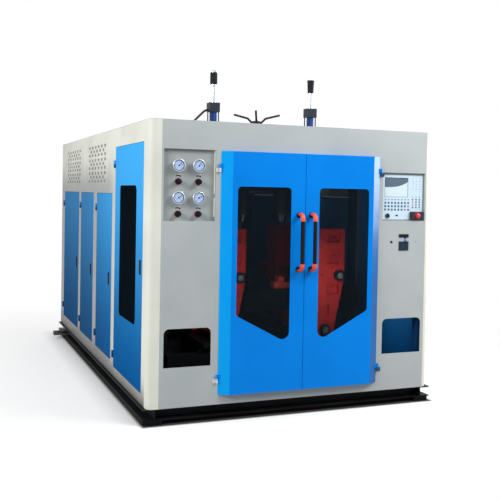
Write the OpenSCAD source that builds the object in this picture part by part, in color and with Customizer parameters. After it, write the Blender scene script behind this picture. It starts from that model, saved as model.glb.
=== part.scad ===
// Two-station extrusion blow moulding machine in a sheet-metal cabinet.
// Millimetres, +Z up, front towards -Y. The origin is on the floor, under the middle of the
// machine's outer box.

/* [Cabinet] */
// Width over the side sheets
cabinet_w = 2350; // [2330:5:2500]
// Depth from the front sheet to the rear sheet
cabinet_d = 4150; // [4120:10:4600]
// Height of the roof above the floor
cabinet_h = 2200; // [2180:10:2400]
// Thickness of the cabinet sheets
sheet_t = 3; // [2:0.5:4]
// Outer radius of the two rounded front corners
corner_r = 50; // [40:1:58]
// Width of the left corner column on the front
left_seam = 85; // [75:1:95]
// Width of the right corner column on the front
right_seam = 46; // [42:1:49]
// Depth of a corner column on the side
corner_leg = 85; // [75:1:95]

/* [Base] */
// Height of the foot pads
foot_t = 34; // [20:1:40]
// Side of a foot pad
foot_size = 140; // [100:5:150]
// Height of the base rails
rail_h = 81; // [75:1:120]
// Width of a base rail's flanges
rail_w = 90; // [85:1:100]
// How far the base rails stand outside the cabinet
rail_proud = 25; // [10:1:30]
// Wall of the base rails
rail_t = 8; // [5:1:12]
// Length of an anchor lug outside the rail
lug_len = 120; // [90:5:150]
// Width of an anchor lug
lug_w = 80; // [60:5:100]
// Height of an anchor lug
lug_h = 40; // [25:5:60]
// Distance of the anchor lugs before the rear sheet
lug_gap = 460; // [400:10:650]
// Diameter of the anchor hole
lug_hole_d = 22; // [16:1:30]

/* [Frame] */
// Side of the square frame tubes
post_w = 60; // [50:5:70]
// Wall of the frame tubes
post_wall = 4; // [3:0.5:6]
// Distance of the corner posts from the outer sheets
post_inset = 30; // [28:1:34]

/* [Front doors] */
// Offset of the pair of doors from the middle of the front, to the right
door_x = 25; // [15:1:30]
// Width of the pair of doors
door_w = 1338; // [1320:2:1350]
// Height of the doors' lower edge above the floor
door_z = 187; // [170:1:200]
// Distance of the doors' upper edge below the roof
door_top_gap = 214; // [200:1:230]
// How far the doors stand in front of the front sheet
door_proud = 45; // [35:1:55]
// Width of the slanted outer edge of a door
door_slant = 78; // [60:1:85]
// Gap between the two doors
door_gap = 4; // [3:0.5:6]
// How far a door laps over the edge of its opening
door_lap = 30; // [20:1:40]
// Thickness of the door sheets
door_sheet = 2.5; // [2:0.5:3]
// Distance of the window from the middle of the pair
window_in = 118; // [110:1:125]
// Distance of the window's outer edge from the middle of the pair
window_out = 550; // [530:1:560]
// Distance of the window's top below the roof
window_top_gap = 472; // [450:1:500]
// Height of the window's outer lower corner
window_side_z = 774; // [750:1:800]
// Height of the window's inner lower corner before it is rounded
window_low_z = 544; // [530:1:560]
// Corner radius of the windows
window_r = 30; // [20:1:40]
// Radius of the window's lowest corner
window_low_r = 55; // [40:1:60]
// Thickness of the window panes
glass_t = 4; // [3:0.5:6]
// How far a pane laps behind the door sheet
glass_lap = 15; // [10:1:18]

/* [Door handles] */
// Distance of a handle from the middle of the pair
handle_off = 52; // [45:1:60]
// Height of a handle's lower foot above the floor
handle_z = 1108; // [1080:1:1130]
// Distance between the feet of a handle
handle_pitch = 413; // [390:1:430]
// Diameter of the handle tube
handle_d = 30; // [24:1:34]
// Distance of the handle tube from the door
handle_reach = 70; // [60:1:80]
// Radius of the bends at a handle's ends
handle_bend = 36; // [32:1:40]
// Diameter of a handle's foot
handle_foot_d = 44; // [40:1:50]

/* [Hinges] */
// Outer diameter of the hinge barrels
hinge_d = 16; // [14:1:18]
// Diameter of the hinge pins
hinge_pin_d = 9; // [7:0.5:10]
// Length of a hinge barrel
hinge_len = 62; // [50:1:70]

/* [Side doors] */
// Front edge of the tall door, behind the front sheet
door_a_y = 185; // [175:1:195]
// Width of the tall door
door_a_w = 985; // [960:1:990]
// Height of the tall door's lower edge
door_a_z = 190; // [170:1:200]
// Distance of the tall door's upper edge below the roof
door_a_top_gap = 155; // [140:1:180]
// Front edges of the three rear doors, behind the front sheet
rear_door_y = [1290, 2150, 2965];
// Widths of the first two rear doors
mid_door_w = [695, 695];
// Distance of the last rear door from the rear sheet
rear_end_gap = 200; // [190:1:230]
// Height of the rear doors' lower edge
rear_door_z = 225; // [200:1:240]
// Distance of the rear doors' upper edge below the roof
rear_top_gap = 545; // [535:1:580]
// Front edge of the side window, behind the tall door's front edge
side_win_in = 217; // [200:1:240]
// Distance of the side window from the tall door's rear edge
side_win_out = 185; // [170:1:210]
// Height of the side window's lower edge above the tall door's lower edge
side_win_low = 471; // [450:1:500]
// Distance of the side window's upper edge below the tall door's upper edge
side_win_top = 322; // [300:1:350]
// Depth of a side door
side_door_t = 24; // [20:1:24.5]
// Gap round a side door
side_gap = 3; // [2.5:0.5:4]
// Width of the flush handles on the side doors
paddle_w = 24; // [20:1:30]
// Height of the flush handles
paddle_h = 107; // [90:1:120]
// How far the flush handles stand out
paddle_out = 10; // [6:1:14]
// Distance of the tall door's flush handle from its front edge
paddle_a_in = 65; // [50:1:80]
// Distance of the rear doors' flush handles from their front edges
paddle_in = 105; // [60:1:120]
// Height of the rear doors' flush handles above the doors' lower edges
paddle_up = 690; // [600:1:760]

/* [Vents] */
// Length of a vent slot
slot_len = 84; // [70:1:95]
// Width of a vent slot
slot_w = 28; // [20:1:30]
// Spacing of the slots along a row
slot_pitch = 150; // [140:1:160]
// Height between the lines of slots
slot_rise = 37; // [35:1:38]
// Height of one block of three lines above the next
vent_rise = 122; // [110:1:130]
// Distance of the lowest line of slots below the roof
vent_gap = 438; // [420:1:445]
// Front end of the first vent field, behind the front sheet
vent_start = 1592; // [1560:1:1620]
// Front end of the second vent field, before the rear sheet
vent_end_gap = 1245; // [1200:1:1260]

/* [Front cut-outs] */
// Free width of the front sheet beside the gauge recess, both sides together
recess_side = 56; // [50:1:70]
// Distance of the gauge recess from the left corner column
gauge_in = 15; // [12:1:30]
// Distance of the control recess from the right corner column
control_in = 12; // [12:1:20]
// Distance of the gauge recess's lower edge below the roof
gauge_gap = 730; // [700:1:750]
// Height of the gauge recess
gauge_h = 520; // [500:1:540]
// Distance of the control recess's lower edge below the roof
control_gap = 720; // [700:1:740]
// Height of the control recess
control_h = 385; // [370:1:400]
// Depth of the two recesses
recess_d = 24; // [15:1:24]
// How far the sides of the lower openings lie inside those of the recesses
port_inset = 16; // [10:1:25]
// Height of the two lower openings
port_h = 282; // [260:1:300]
// Height of the lower openings above the floor
port_z = 408; // [390:1:430]
// Radius of the lower openings' top corners
port_r = 40; // [30:1:60]

/* [Gauges and regulators] */
// Diameter of a gauge's rim
gauge_d = 93; // [80:1:100]
// Spacing of the two columns of gauges
gauge_pitch_x = 152; // [140:1:170]
// Distances of the two rows of gauges below the roof
gauge_row_gap = [562, 328];
// How far a regulator sits below its gauge
regulator_drop = 117; // [105:1:125]
// Diameter of a regulator knob
knob_d = 40; // [34:1:46]
// Length of a regulator knob
knob_len = 36; // [28:1:42]
// Diameter of the ring behind a knob
knob_ring_d = 48; // [48:1:54]

/* [Control panel] */
// Share of the recess's width that the screen takes
screen_share = 0.55; // [0.5:0.01:0.56]
// Height of the screen
screen_h = 153; // [140:1:160]
// Width of the emergency stop's housing
stop_w = 118; // [100:1:120]
// Height of the emergency stop's housing
stop_h = 64; // [55:1:70]
// Diameter of the emergency button
stop_d = 40; // [36:1:44]
// Travel of the emergency button
stop_travel = 4; // [3:0.5:6]
// Width of the main breaker
breaker_w = 89; // [80:1:95]
// Height of the main breaker
breaker_h = 131; // [120:1:140]
// Distance of the main breaker's lower edge below the roof
breaker_gap = 960; // [940:1:990]

/* [Blow pins] */
// Distance of each station from the middle of the machine
station_x = 445; // [440:1:450]
// Distance of the stations' parting plane behind the front sheet
parting_y = 800; // [790:1:820]
// Side of the cylinders' end blocks
cyl_block = 88; // [84:1:92]
// Height of the upper end blocks
cyl_block_h = 76; // [65:1:85]
// Height of the lower end blocks
cyl_foot_h = 56; // [45:1:58]
// Length of the cylinder barrels above the roof
cyl_rise = 147; // [140:1:170]
// Outer diameter of the cylinder barrels
barrel_d = 62; // [56:1:66]
// Wall of the cylinder barrels
barrel_wall = 4; // [3:0.5:5]
// Diameter of the cylinders' tie rods
tie_d = 10; // [8:1:11]
// Diameter of the blow rods
rod_d = 43; // [36:1:44]
// Length of rod that shows above the upper block at rest
rod_show = 133; // [120:1:140]
// Height of the round cap on the left rod
cap_h = 137; // [120:1:150]
// Height of the flared cap on the right rod
low_cap_h = 113; // [100:1:130]
// Diameter of the caps
cap_d = 57; // [50:1:64]
// Diameter of the blow pins
pin_d = 30; // [24:1:36]
// Height of the blow pins' tips at rest
pin_tip_z = 1535; // [1530:1:1560]

/* [Clamps] */
// Width of a platen
platen_w = 356; // [340:1:360]
// Width of a platen's lower end
platen_low_w = 164; // [150:1:180]
// Thickness of a platen
platen_t = 80; // [60:1:90]
// Height of a platen's top
platen_top = 1392; // [1370:1:1400]
// Height at which a platen starts to taper
platen_knee = 982; // [960:1:1010]
// Height of a platen's lower end
platen_low = 505; // [500:1:520]
// Diameter of the tie bars
bar_d = 50; // [40:1:55]
// Height of the two upper tie bars
bar_z = 1000; // [985:1:1010]
// Sideways distance of the upper tie bars from the station's middle
bar_x = 124; // [115:1:130]
// Height of the lower tie bar
bar_low_z = 550; // [545:1:560]
// Diameter of the nuts on the tie bars
nut_d = 88; // [76:1:90]
// Thickness of the nuts
nut_t = 30; // [24:1:36]
// Gap between the open platens
daylight = 560; // [540:1:580]
// Stroke of each platen
clamp_stroke = 150; // [120:1:160]
// Thickness of the rear crosshead
crosshead_t = 70; // [60:1:80]
// Diameter of the clamp ram
ram_d = 45; // [36:1:50]
// Diameter of the clamp cylinder
ram_tube_d = 110; // [90:1:120]

/* [Carriages and bed] */
// Inward travel of a carriage
carriage_travel = 255; // [240:1:255]
// Half width of a carriage
carriage_half = 170; // [160:1:174]
// Height of the bed beams' top above the floor
bed_top = 400; // [390:1:404]
// Height of the slide rails on the bed
slide_h = 28; // [20:1:32]
// Width of the slide rails
slide_w = 34; // [28:1:40]
// Distances of the two slide rails behind the front sheet
slide_y = [500, 1100];
// Thickness of a carriage plate
carriage_t = 30; // [24:1:32]
// Height of the guide rails on a carriage
guide_h = 20; // [16:1:22]

/* [Extruder] */
// Distance of the extruder's axis below the roof
screw_gap = 420; // [400:1:440]
// Outer diameter of the extruder barrel
extruder_d = 140; // [120:2:150]
// Rear end of the extruder barrel, behind the front sheet
extruder_end = 2600; // [2560:10:2640]
// Distance of the two dies from the middle
die_x = 190; // [180:1:200]
// Diameter of a die body
die_d = 150; // [130:2:160]
// Distance of the dies' lower faces below the extruder's axis
die_drop = 340; // [320:1:350]
// Distance of the adjusting screw behind the front sheet
adjust_y = 945; // [935:1:955]
// Diameter of the adjusting screw
adjust_d = 22; // [18:1:24]
// Height of the adjusting screw's top above the roof
adjust_top = 118; // [112:1:130]
// Diameter of the hopper
hopper_d = 420; // [380:5:440]
// Distance of the hopper behind the front sheet
hopper_y = 2480; // [2450:5:2500]

/* [Hidden] */
$fn = 48;

// Clearances
run = 0.3;          // round or flat faces that move against each other
weld = 0.3;         // between the members of a welded frame
arc_n = 6;          // straight steps in each rounded corner of an outline

// Heights and places worked out from the driving dimensions
half_w = cabinet_w / 2;
body_z = foot_t + rail_h;
top_z = cabinet_h - sheet_t;
beam_z = top_z - post_w;
door_h = cabinet_h - door_top_gap - door_z;
window_top = cabinet_h - window_top_gap;
door_a_h = cabinet_h - door_a_top_gap - door_a_z;
rear_door_h = cabinet_h - rear_top_gap - rear_door_z;
rear_door_w = concat(mid_door_w, [cabinet_d - rear_end_gap - rear_door_y[2]]);
lug_y = cabinet_d - lug_gap;
vent_z = cabinet_h - vent_gap;
vent_y = [vent_start, cabinet_d - vent_end_gap];
door_l = door_x - door_w / 2;
door_r = door_x + door_w / 2;
recess_w = half_w - left_seam + door_l - recess_side;
gauge_x = -half_w + left_seam + gauge_in + recess_w / 2;
gauge_z = cabinet_h - gauge_gap;
gauge_row_z = [for (g = gauge_row_gap) cabinet_h - g];
control_x = half_w - right_seam - control_in - recess_w / 2;
control_z = cabinet_h - control_gap;
port_w = recess_w - 2 * port_inset;
screen_w = recess_w * screen_share;
breaker_x = control_x + 4;
breaker_z = cabinet_h - breaker_gap;
screw_z = cabinet_h - screw_gap;
die_z = screw_z - die_drop;
front_out = door_proud + handle_reach + handle_d / 2;
front_y = (front_out - cabinet_d) / 2;
tiny = 0.5;

// Places the machine so that its outer box is centred on the origin
module placed() { translate([0, front_y, 0]) children(); }

// A 2D outline drawn in X and Z, as a plate from y to y + t
module xz_plate(y, t) {
    translate([0, y + t, 0]) rotate([90, 0, 0]) linear_extrude(t) children();
}

// A 2D outline drawn in Y and Z, as a plate from x to x + t
module yz_plate(x, t) {
    translate([x, 0, 0]) rotate([90, 0, 90]) linear_extrude(t) children();
}

// A cylinder along +Y from point p
module y_rod(p, d, l) { translate(p) rotate([-90, 0, 0]) cylinder(d = d, h = l); }

// A box given by its lowest corner and its highest corner
module span(lo, hi) { translate(lo) cube(hi - lo); }

// Left pieces are drawn on the left, and right pieces are their mirror image
module side(s) { mirror([s > 0 ? 1 : 0, 0, 0]) children(); }

// Points of an outline whose corners are rounded by the radii given
function unit(v) = v / norm(v);
function turned(a) = a > 180 ? a - 360 : a < -180 ? a + 360 : a;
function corner_arc(a, b, c, r) =
    let (u = unit(a - b), v = unit(c - b), half = acos(u * v) / 2,
         m = b + unit(u + v) * r / sin(half), s = b + u * r / tan(half) - m,
         e = b + v * r / tan(half) - m, a0 = atan2(s[1], s[0]),
         sweep = turned(atan2(e[1], e[0]) - a0))
    [for (i = [0:arc_n]) m + r * [cos(a0 + sweep * i / arc_n), sin(a0 + sweep * i / arc_n)]];
function rounded(p, r) =
    let (n = len(p))
    [for (i = [0:n - 1])
        each r[i] > 0 ? corner_arc(p[(i + n - 1) % n], p[i], p[(i + 1) % n], r[i]) : [p[i]]];
function box_points(x0, z0, x1, z1) = [[x0, z0], [x1, z0], [x1, z1], [x0, z1]];

// Base: channel rails open to the outside, on corner pads, with hollow cross members between them
// and two anchor lugs near the rear
rail_in = rail_w - rail_t;
rail_x = half_w + rail_proud;
foot_ys = [0, cabinet_d - foot_size];
stand_ys = [extruder_end + 60, extruder_end + 340];
cross_ys = concat(slide_y, stand_ys);
cross_w = 100;
module channel(l) {
    linear_extrude(l) difference() {
        square([rail_w, rail_h]);
        translate([-tiny, rail_t]) square([rail_in + tiny, rail_h - 2 * rail_t]);
    }
}
module hollow_beam(x0, x1, y, w, z0, z1) {
    difference() {
        span([x0, y - w / 2, z0], [x1, y + w / 2, z1]);
        span([x0 - 1, y - w / 2 + rail_t, z0 + rail_t], [x1 + 1, y + w / 2 - rail_t, z1 - rail_t]);
    }
}
module base_frame() {
    x_in = rail_x - rail_w - weld;
    color("#17181b") placed() {
        for (s = [-1, 1]) side(s) {
            translate([-rail_x, cabinet_d, foot_t]) rotate([90, 0, 0]) channel(cabinet_d);
            for (y = foot_ys) foot_pad(y);
            anchor_lug();
        }
        translate([-x_in, 0, foot_t]) multmatrix([[0, 0, 1, 0], [1, 0, 0, 0], [0, 1, 0, 0]])
            channel(2 * x_in);
        translate([-x_in, cabinet_d, foot_t]) multmatrix([[0, 0, 1, 0], [-1, 0, 0, 0], [0, 1, 0, 0]])
            channel(2 * x_in);
        for (y = cross_ys) hollow_beam(-x_in, x_in, y, cross_w, foot_t, body_z);
    }
}
module foot_pad(y) {
    cut = foot_size / 6;
    translate([-rail_x, y, 0]) linear_extrude(foot_t - weld)
        polygon([[cut, 0], [foot_size, 0], [foot_size, foot_size], [cut, foot_size],
                 [0, foot_size - cut], [0, cut]]);
}
module anchor_lug() {
    x_in = -rail_x + rail_in - weld;
    difference() {
        span([-rail_x - lug_len, lug_y - lug_w / 2, foot_t + rail_t + weld],
             [x_in, lug_y + lug_w / 2, foot_t + rail_t + weld + lug_h]);
        translate([-rail_x - lug_len / 2, lug_y, 0])
            cylinder(d = lug_hole_d, h = body_z);
    }
}

// Inner frame of square tubes: posts on the base, rails and beams under the roof
post_x = half_w - post_inset - post_w;
bay_ys = [post_inset, mid_gap(door_a_y + door_a_w, rear_door_y[0]),
          mid_gap(rear_door_y[0] + rear_door_w[0], rear_door_y[1]),
          mid_gap(rear_door_y[1] + rear_door_w[1], rear_door_y[2]),
          cabinet_d - post_inset - post_w];
function mid_gap(a, b) = (a + b - post_w) / 2;
cyl_beam_off = cyl_block / 2 + 16;
module tube_profile() {
    difference() {
        square(post_w);
        translate([post_wall, post_wall]) square(post_w - 2 * post_wall);
    }
}
module cabinet_frame() {
    color("#8f9698") placed() {
        for (s = [-1, 1]) side(s) {
            for (y = bay_ys) translate([-post_x - post_w, y, body_z])
                linear_extrude(beam_z - weld - body_z) tube_profile();
            translate([-post_x - post_w, cabinet_d - post_inset, beam_z])
                rotate([90, 0, 0]) linear_extrude(cabinet_d - 2 * post_inset) tube_profile();
        }
        for (y = concat(bay_ys, [parting_y - cyl_beam_off - post_w, parting_y + cyl_beam_off]))
            translate([-post_x + weld, y, beam_z]) rotate([90, 0, 90])
                linear_extrude(2 * (post_x - weld)) tube_profile();
    }
}

// Front sheet with the doorway, two recess openings, two lower openings and the breaker hole
module port_outline(x) {
    polygon(rounded(box_points(x - port_w / 2, port_z, x + port_w / 2, port_z + port_h),
                    [0, 0, port_r, port_r]));
}
module recess_hole(x, z, h) { translate([x - recess_w / 2, z]) square([recess_w, h]); }
module front_sheet() {
    color("#aeb4b5") placed() xz_plate(0, sheet_t) difference() {
        translate([-half_w + left_seam + weld, body_z])
            square([cabinet_w - left_seam - right_seam - 2 * weld, top_z - body_z]);
        translate([door_l + door_lap, door_z + door_lap])
            square([door_w - 2 * door_lap, door_h - 2 * door_lap]);
        recess_hole(gauge_x, gauge_z, gauge_h);
        recess_hole(control_x, control_z, control_h);
        port_outline(gauge_x);
        port_outline(control_x);
        translate([breaker_x - breaker_w / 2, breaker_z]) square([breaker_w, breaker_h]);
    }
}

// Rounded corner columns, folded from sheet
module corner_column(seam) {
    p = [[0, corner_leg], [0, 0], [seam, 0], [seam, sheet_t], [sheet_t, sheet_t],
         [sheet_t, corner_leg]];
    translate([-half_w, 0, body_z]) linear_extrude(top_z - body_z)
        polygon(rounded(p, [0, min(corner_r, seam - 1), 0, 0, min(corner_r, seam - 1) - sheet_t, 0]));
}
module left_corner_column() { color("#dfe2d8") placed() corner_column(left_seam); }
module right_corner_column() { color("#dfe2d8") placed() side(1) corner_column(right_seam); }

// Side sheets with their door openings
split_y = bay_ys[1] + post_w / 2;
rear_z = vent_z - slot_rise - weld;
module front_side_sheet() {
    yz_plate(-half_w, sheet_t) difference() {
        translate([corner_leg + weld, body_z])
            square([split_y - corner_leg - 2 * weld, top_z - body_z]);
        translate([door_a_y, door_a_z]) square([door_a_w, door_a_h]);
    }
}
module rear_side_sheet() {
    yz_plate(-half_w, sheet_t) difference() {
        translate([split_y, body_z]) square([cabinet_d - sheet_t - weld - split_y, rear_z - body_z]);
        for (i = [0:2])
            translate([rear_door_y[i], rear_door_z]) square([rear_door_w[i], rear_door_h]);
    }
}
module left_front_side_sheet() { color("#e2e5da") placed() front_side_sheet(); }
module right_front_side_sheet() { color("#e2e5da") placed() side(1) front_side_sheet(); }
module left_rear_side_sheet() { color("#cfd2cc") placed() rear_side_sheet(); }
module right_rear_side_sheet() { color("#cfd2cc") placed() side(1) rear_side_sheet(); }

// Vent sheets above the rear doors: fields of staggered slots in three blocks of three lines
module slot() {
    for (e = [-1, 1]) translate([e * (slot_len - slot_w) / 2, 0]) circle(d = slot_w, $fn = 12);
    square([slot_len - slot_w, slot_w], center = true);
}
module vent_sheet() {
    yz_plate(-half_w, sheet_t) difference() {
        translate([split_y, rear_z + weld])
            square([cabinet_d - sheet_t - weld - split_y, top_z - rear_z - weld]);
        for (y = vent_y, b = [0:2], line = [0:2], i = [0:5 - line % 2])
            translate([y + slot_len / 2 + (i + (line % 2) / 2) * slot_pitch,
                       vent_z + b * vent_rise + line * slot_rise]) slot();
    }
}
module left_vent_sheet() { color("#cdd1ca") placed() vent_sheet(); }
module right_vent_sheet() { color("#cdd1ca") placed() side(1) vent_sheet(); }

// Roof and rear sheets
hopper_hole = hopper_d + 2 * sheet_t + 4;
module roof_sheet() {
    color("#b9bec0") placed() difference() {
        translate([0, 0, top_z]) linear_extrude(sheet_t)
            polygon(rounded(box_points(-half_w, 0, half_w, cabinet_d),
                            [corner_r, min(corner_r, right_seam - 1), 0, 0]));
        for (s = [-1, 1]) translate([s * station_x, parting_y, top_z - 1])
            cylinder(d = cyl_block * 1.25, h = sheet_t + 2);
        translate([0, adjust_y, top_z - 1]) cylinder(d = adjust_d + 14, h = sheet_t + 2);
        translate([0, hopper_y, top_z - 1]) cylinder(d = hopper_hole, h = sheet_t + 2);
    }
}
module rear_sheet() {
    color("#b9bec0") placed()
        span([-half_w, cabinet_d - sheet_t, body_z], [half_w, cabinet_d, top_z]);
}

// Lift-off hinges: the lower half carries the pin, the upper half is a sleeve on the door.
// Drawn with the pin's axis at the origin, the door towards -X and the frame towards +X.
half_h = hinge_len / 2;
wing_t = 4;
wing_w = 30;
hinge_off = hinge_d / 2 + 1;
module hinge_lower() {
    translate([0, 0, -half_h]) cylinder(d = hinge_d, h = half_h - tiny);
    translate([0, 0, -half_h]) cylinder(d = hinge_pin_d, h = hinge_len - 3);
    span([0, hinge_off - wing_t, -half_h], [wing_w, hinge_off, -tiny]);
}
module hinge_sleeve(wing_y) {
    difference() {
        union() {
            translate([0, 0, tiny]) cylinder(d = hinge_d, h = half_h - tiny);
            span([-wing_w, wing_y - wing_t, tiny], [0, wing_y, half_h]);
        }
        cylinder(d = hinge_pin_d + 2 * run, h = half_h + 1);
    }
}
front_hinge_z = [door_z + door_h - 125, door_z + 118];
a_hinge_z = [door_a_z + door_a_h - 144, door_a_z + 110];
rear_hinge_z = [rear_door_z + rear_door_h - 133, rear_door_z + 125];
// Turns a hinge so that its frame side lies towards +Y on the left side of the cabinet
module side_hinge(y, z) {
    translate([-half_w - hinge_off, y, z]) multmatrix([[0, 1, 0, 0], [1, 0, 0, 0], [0, 0, 1, 0]])
        children();
}
module hinge_pins() {
    color("#2b3b52") placed() {
        for (z = front_hinge_z) {
            translate([door_r + hinge_off, -hinge_off, z]) hinge_lower();
            translate([door_l - hinge_off, -hinge_off, z]) mirror([1, 0, 0]) hinge_lower();
        }
        for (s = [-1, 1]) side(s) {
            for (z = a_hinge_z) side_hinge(door_a_y + door_a_w, z) hinge_lower();
            for (i = [0:2], z = rear_hinge_z)
                side_hinge(rear_door_y[i] + rear_door_w[i], z) hinge_lower();
        }
    }
}

// Recessed tray behind a rectangular hole in the front sheet
tray_lip = 11;
module tray(x, z, h) {
    w = recess_w;
    difference() {
        span([x - w / 2 - tray_lip, sheet_t, z - tray_lip],
             [x + w / 2 + tray_lip, 2 * sheet_t, z + h + tray_lip]);
        span([x - w / 2, 0, z], [x + w / 2, 3 * sheet_t, z + h]);
    }
    difference() {
        span([x - w / 2 - sheet_t, 2 * sheet_t - 1, z - sheet_t],
             [x + w / 2 + sheet_t, recess_d + sheet_t, z + h + sheet_t]);
        span([x - w / 2, 0, z], [x + w / 2, recess_d, z + h]);
    }
}

// Gauge panel: a tray with holes for four gauges and four regulators
gauge_xs = [for (e = [-1, 1]) gauge_x - 7 + e * gauge_pitch_x / 2];
gauge_spots = [for (z = gauge_row_z, x = gauge_xs) [x, 0, z]];
knob_spots = [for (p = gauge_spots) p - [0, 0, regulator_drop]];
gauge_stem = 50;
regulator_stem = 26;
module gauge_panel() {
    color("#a3abad") placed() difference() {
        tray(gauge_x, gauge_z, gauge_h);
        for (p = gauge_spots) y_rod(p, gauge_stem + 2 * run, 60);
        for (p = knob_spots) y_rod(p, regulator_stem + 2 * run, 60);
    }
}

// Pressure gauges: turned cases with a rim round a sunk dial
gauge_front = recess_d - 30;
module gauge_profile() {
    r = gauge_d / 2;
    polygon([[0, 0], [gauge_stem / 2, 0], [gauge_stem / 2, 20], [r - 6, 20], [r - 3, 24],
             [r - 3, 38], [r, 41], [r, 48], [r - 3, 50], [r - 6, 50], [r - 8, 44], [0, 44]]);
}
module pressure_gauges() {
    color("#e9ebe8") placed() for (p = gauge_spots)
        translate([p[0], recess_d + 20 - run, p[2]]) rotate([90, 0, 0])
            rotate_extrude() gauge_profile();
}

// Regulators: a body behind the tray, a neck through it and a ring in front
module regulator_bodies() {
    color("#c62a2a") placed() for (p = knob_spots) {
        y_rod(p + [0, recess_d - 8, 0], knob_ring_d, 8 - run);
        y_rod(p + [0, recess_d - 8, 0], regulator_stem, 60);
        y_rod(p + [0, recess_d + sheet_t + run, 0], 52, 60);
    }
}

// Regulator knobs: ribbed caps with a rounded crown
knob_ribs = 18;
module knob(i) {
    p = knob_spots[i];
    color("#26282c") placed() translate([p[0], recess_d - 8 - run, p[2]]) rotate([90, 0, 0]) {
        rotate_extrude() polygon([[0, 0], [knob_d / 2 - 3, 0], [knob_d / 2 - 3, knob_len - 6],
            [knob_d / 2 - 6, knob_len - 1], [knob_d / 2 - 9, knob_len], [0, knob_len]]);
        for (k = [1:knob_ribs]) rotate([0, 0, k * 360 / knob_ribs])
            translate([knob_d / 2 - 4, -1.6, 3]) cube([4, 3.2, knob_len - 10]);
    }
}
module regulator_knob_1() { knob(0); }
module regulator_knob_2() { knob(1); }
module regulator_knob_3() { knob(2); }
module regulator_knob_4() { knob(3); }

// Control panel: a tray with a raised keyboard plate, a screen bezel and the stop's housing
plate_t = 6;
plate_inset = 9;
plate_y = recess_d - plate_t;
control_l = control_x - recess_w / 2;
screen_x = control_l + plate_inset + 16;
screen_z = control_z + control_h - 40 - screen_h;
stop_x = control_x + recess_w / 2 - plate_inset - stop_w;
stop_z = control_z + plate_inset;
stop_out = 26;
stop_c = [stop_x + stop_w * 0.48, 0, stop_z + stop_h / 2];
stop_stem = 16;
stop_face = plate_y - stop_out;
key_size = 14;
key_pitch = 21;
key_step = screen_w / 7;
key_rise = 27;
side_key_step = recess_w * 0.082;
side_key_in = recess_w * 0.103;
module control_panel() {
    color("#c9d8e6") placed() {
        difference() {
            tray(control_x, control_z, control_h);
            span([screen_x - 4, 0, screen_z - 4],
                 [screen_x + screen_w + 4, 2 * recess_d, screen_z + screen_h + 4]);
        }
        difference() {
            span([control_l + plate_inset, plate_y, control_z + plate_inset],
                 [control_l + recess_w - plate_inset, recess_d, control_z + control_h - 16]);
            span([screen_x, 0, screen_z], [screen_x + screen_w, recess_d + 1, screen_z + screen_h]);
            y_rod([stop_c[0], 0, stop_c[2]], stop_stem + 2 * run, recess_d + 1);
        }
        for (i = [0:7], j = [0:3]) key(screen_x - 1 + i * key_step, screen_z - 29 - j * key_rise);
        for (i = [0:2], j = [0:11])
            key(screen_x + screen_w + side_key_in + i * side_key_step,
                screen_z + screen_h - 12 - j * key_pitch);
        difference() {
            span([stop_x, stop_face, stop_z], [stop_x + stop_w, plate_y, stop_z + stop_h]);
            y_rod([stop_c[0], stop_face - 1, stop_c[2]], stop_stem + 2 * run, stop_out + 2);
        }
        difference() {
            y_rod([control_l + 53, plate_y - 7, control_z + 38], 38, 7);
            y_rod([control_l + 53, plate_y - 8, control_z + 38], 28, 6);
        }
    }
}
module key(x, z) { span([x, plate_y - 1, z], [x + key_size, plate_y, z + key_size]); }

// Screen set into the control plate
module control_screen() {
    color("#7f93a8") placed()
        span([screen_x + run, plate_y + 1.5, screen_z + run],
             [screen_x + screen_w - run, recess_d + 30, screen_z + screen_h - run]);
}

// Emergency button: a mushroom head on a stem
module emergency_button() {
    color("#c8252b") placed() translate([stop_c[0], stop_face - stop_travel - run, stop_c[2]])
        rotate([90, 0, 0]) rotate_extrude()
        polygon([[0, -30], [stop_stem / 2, -30], [stop_stem / 2, 0], [stop_d / 2 - 2, 0],
                 [stop_d / 2, 3], [stop_d / 2, 8], [stop_d / 2 - 4, 12], [stop_d / 4, 14.5],
                 [0, 15]]);
}

// Main breaker: moulded case behind the front sheet, with a slot for its toggle
toggle_x = breaker_x + breaker_w * 0.16;
toggle_z = breaker_z + breaker_h * 0.68;
toggle_w = 16;
toggle_pin_d = 12;
toggle_slot = 34;
module breaker_case() {
    w = breaker_w / 2 - run;
    span([breaker_x - w, -1, breaker_z + run], [breaker_x + w, 60, breaker_z + breaker_h - run]);
    span([breaker_x - w, -5, breaker_z + run], [breaker_x + w, 0, breaker_z + breaker_h * 0.55]);
    span([breaker_x - w, -5, breaker_z + breaker_h * 0.8],
         [breaker_x + w, 0, breaker_z + breaker_h - run]);
    span([breaker_x - w - 12, sheet_t, breaker_z - 12],
         [breaker_x + w + 12, sheet_t + 4, breaker_z + breaker_h + 12]);
}
module main_breaker() {
    color("#2f3d4b") placed() difference() {
        breaker_case();
        span([toggle_x - toggle_w / 2 - 1, -6, toggle_z - toggle_slot / 2],
             [toggle_x + toggle_w / 2 + 1, 30, toggle_z + toggle_slot / 2]);
    }
}
module breaker_toggle() {
    color("#8a97a4") placed() translate([toggle_x, 12, toggle_z]) {
        rotate([0, 90, 0]) cylinder(d = toggle_pin_d, h = toggle_w + 2 - 2 * run, center = true);
        rotate([20, 0, 0]) span([-toggle_w / 2 + 1, -30, -4], [toggle_w / 2 - 1, 0, 4]);
    }
}

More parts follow.
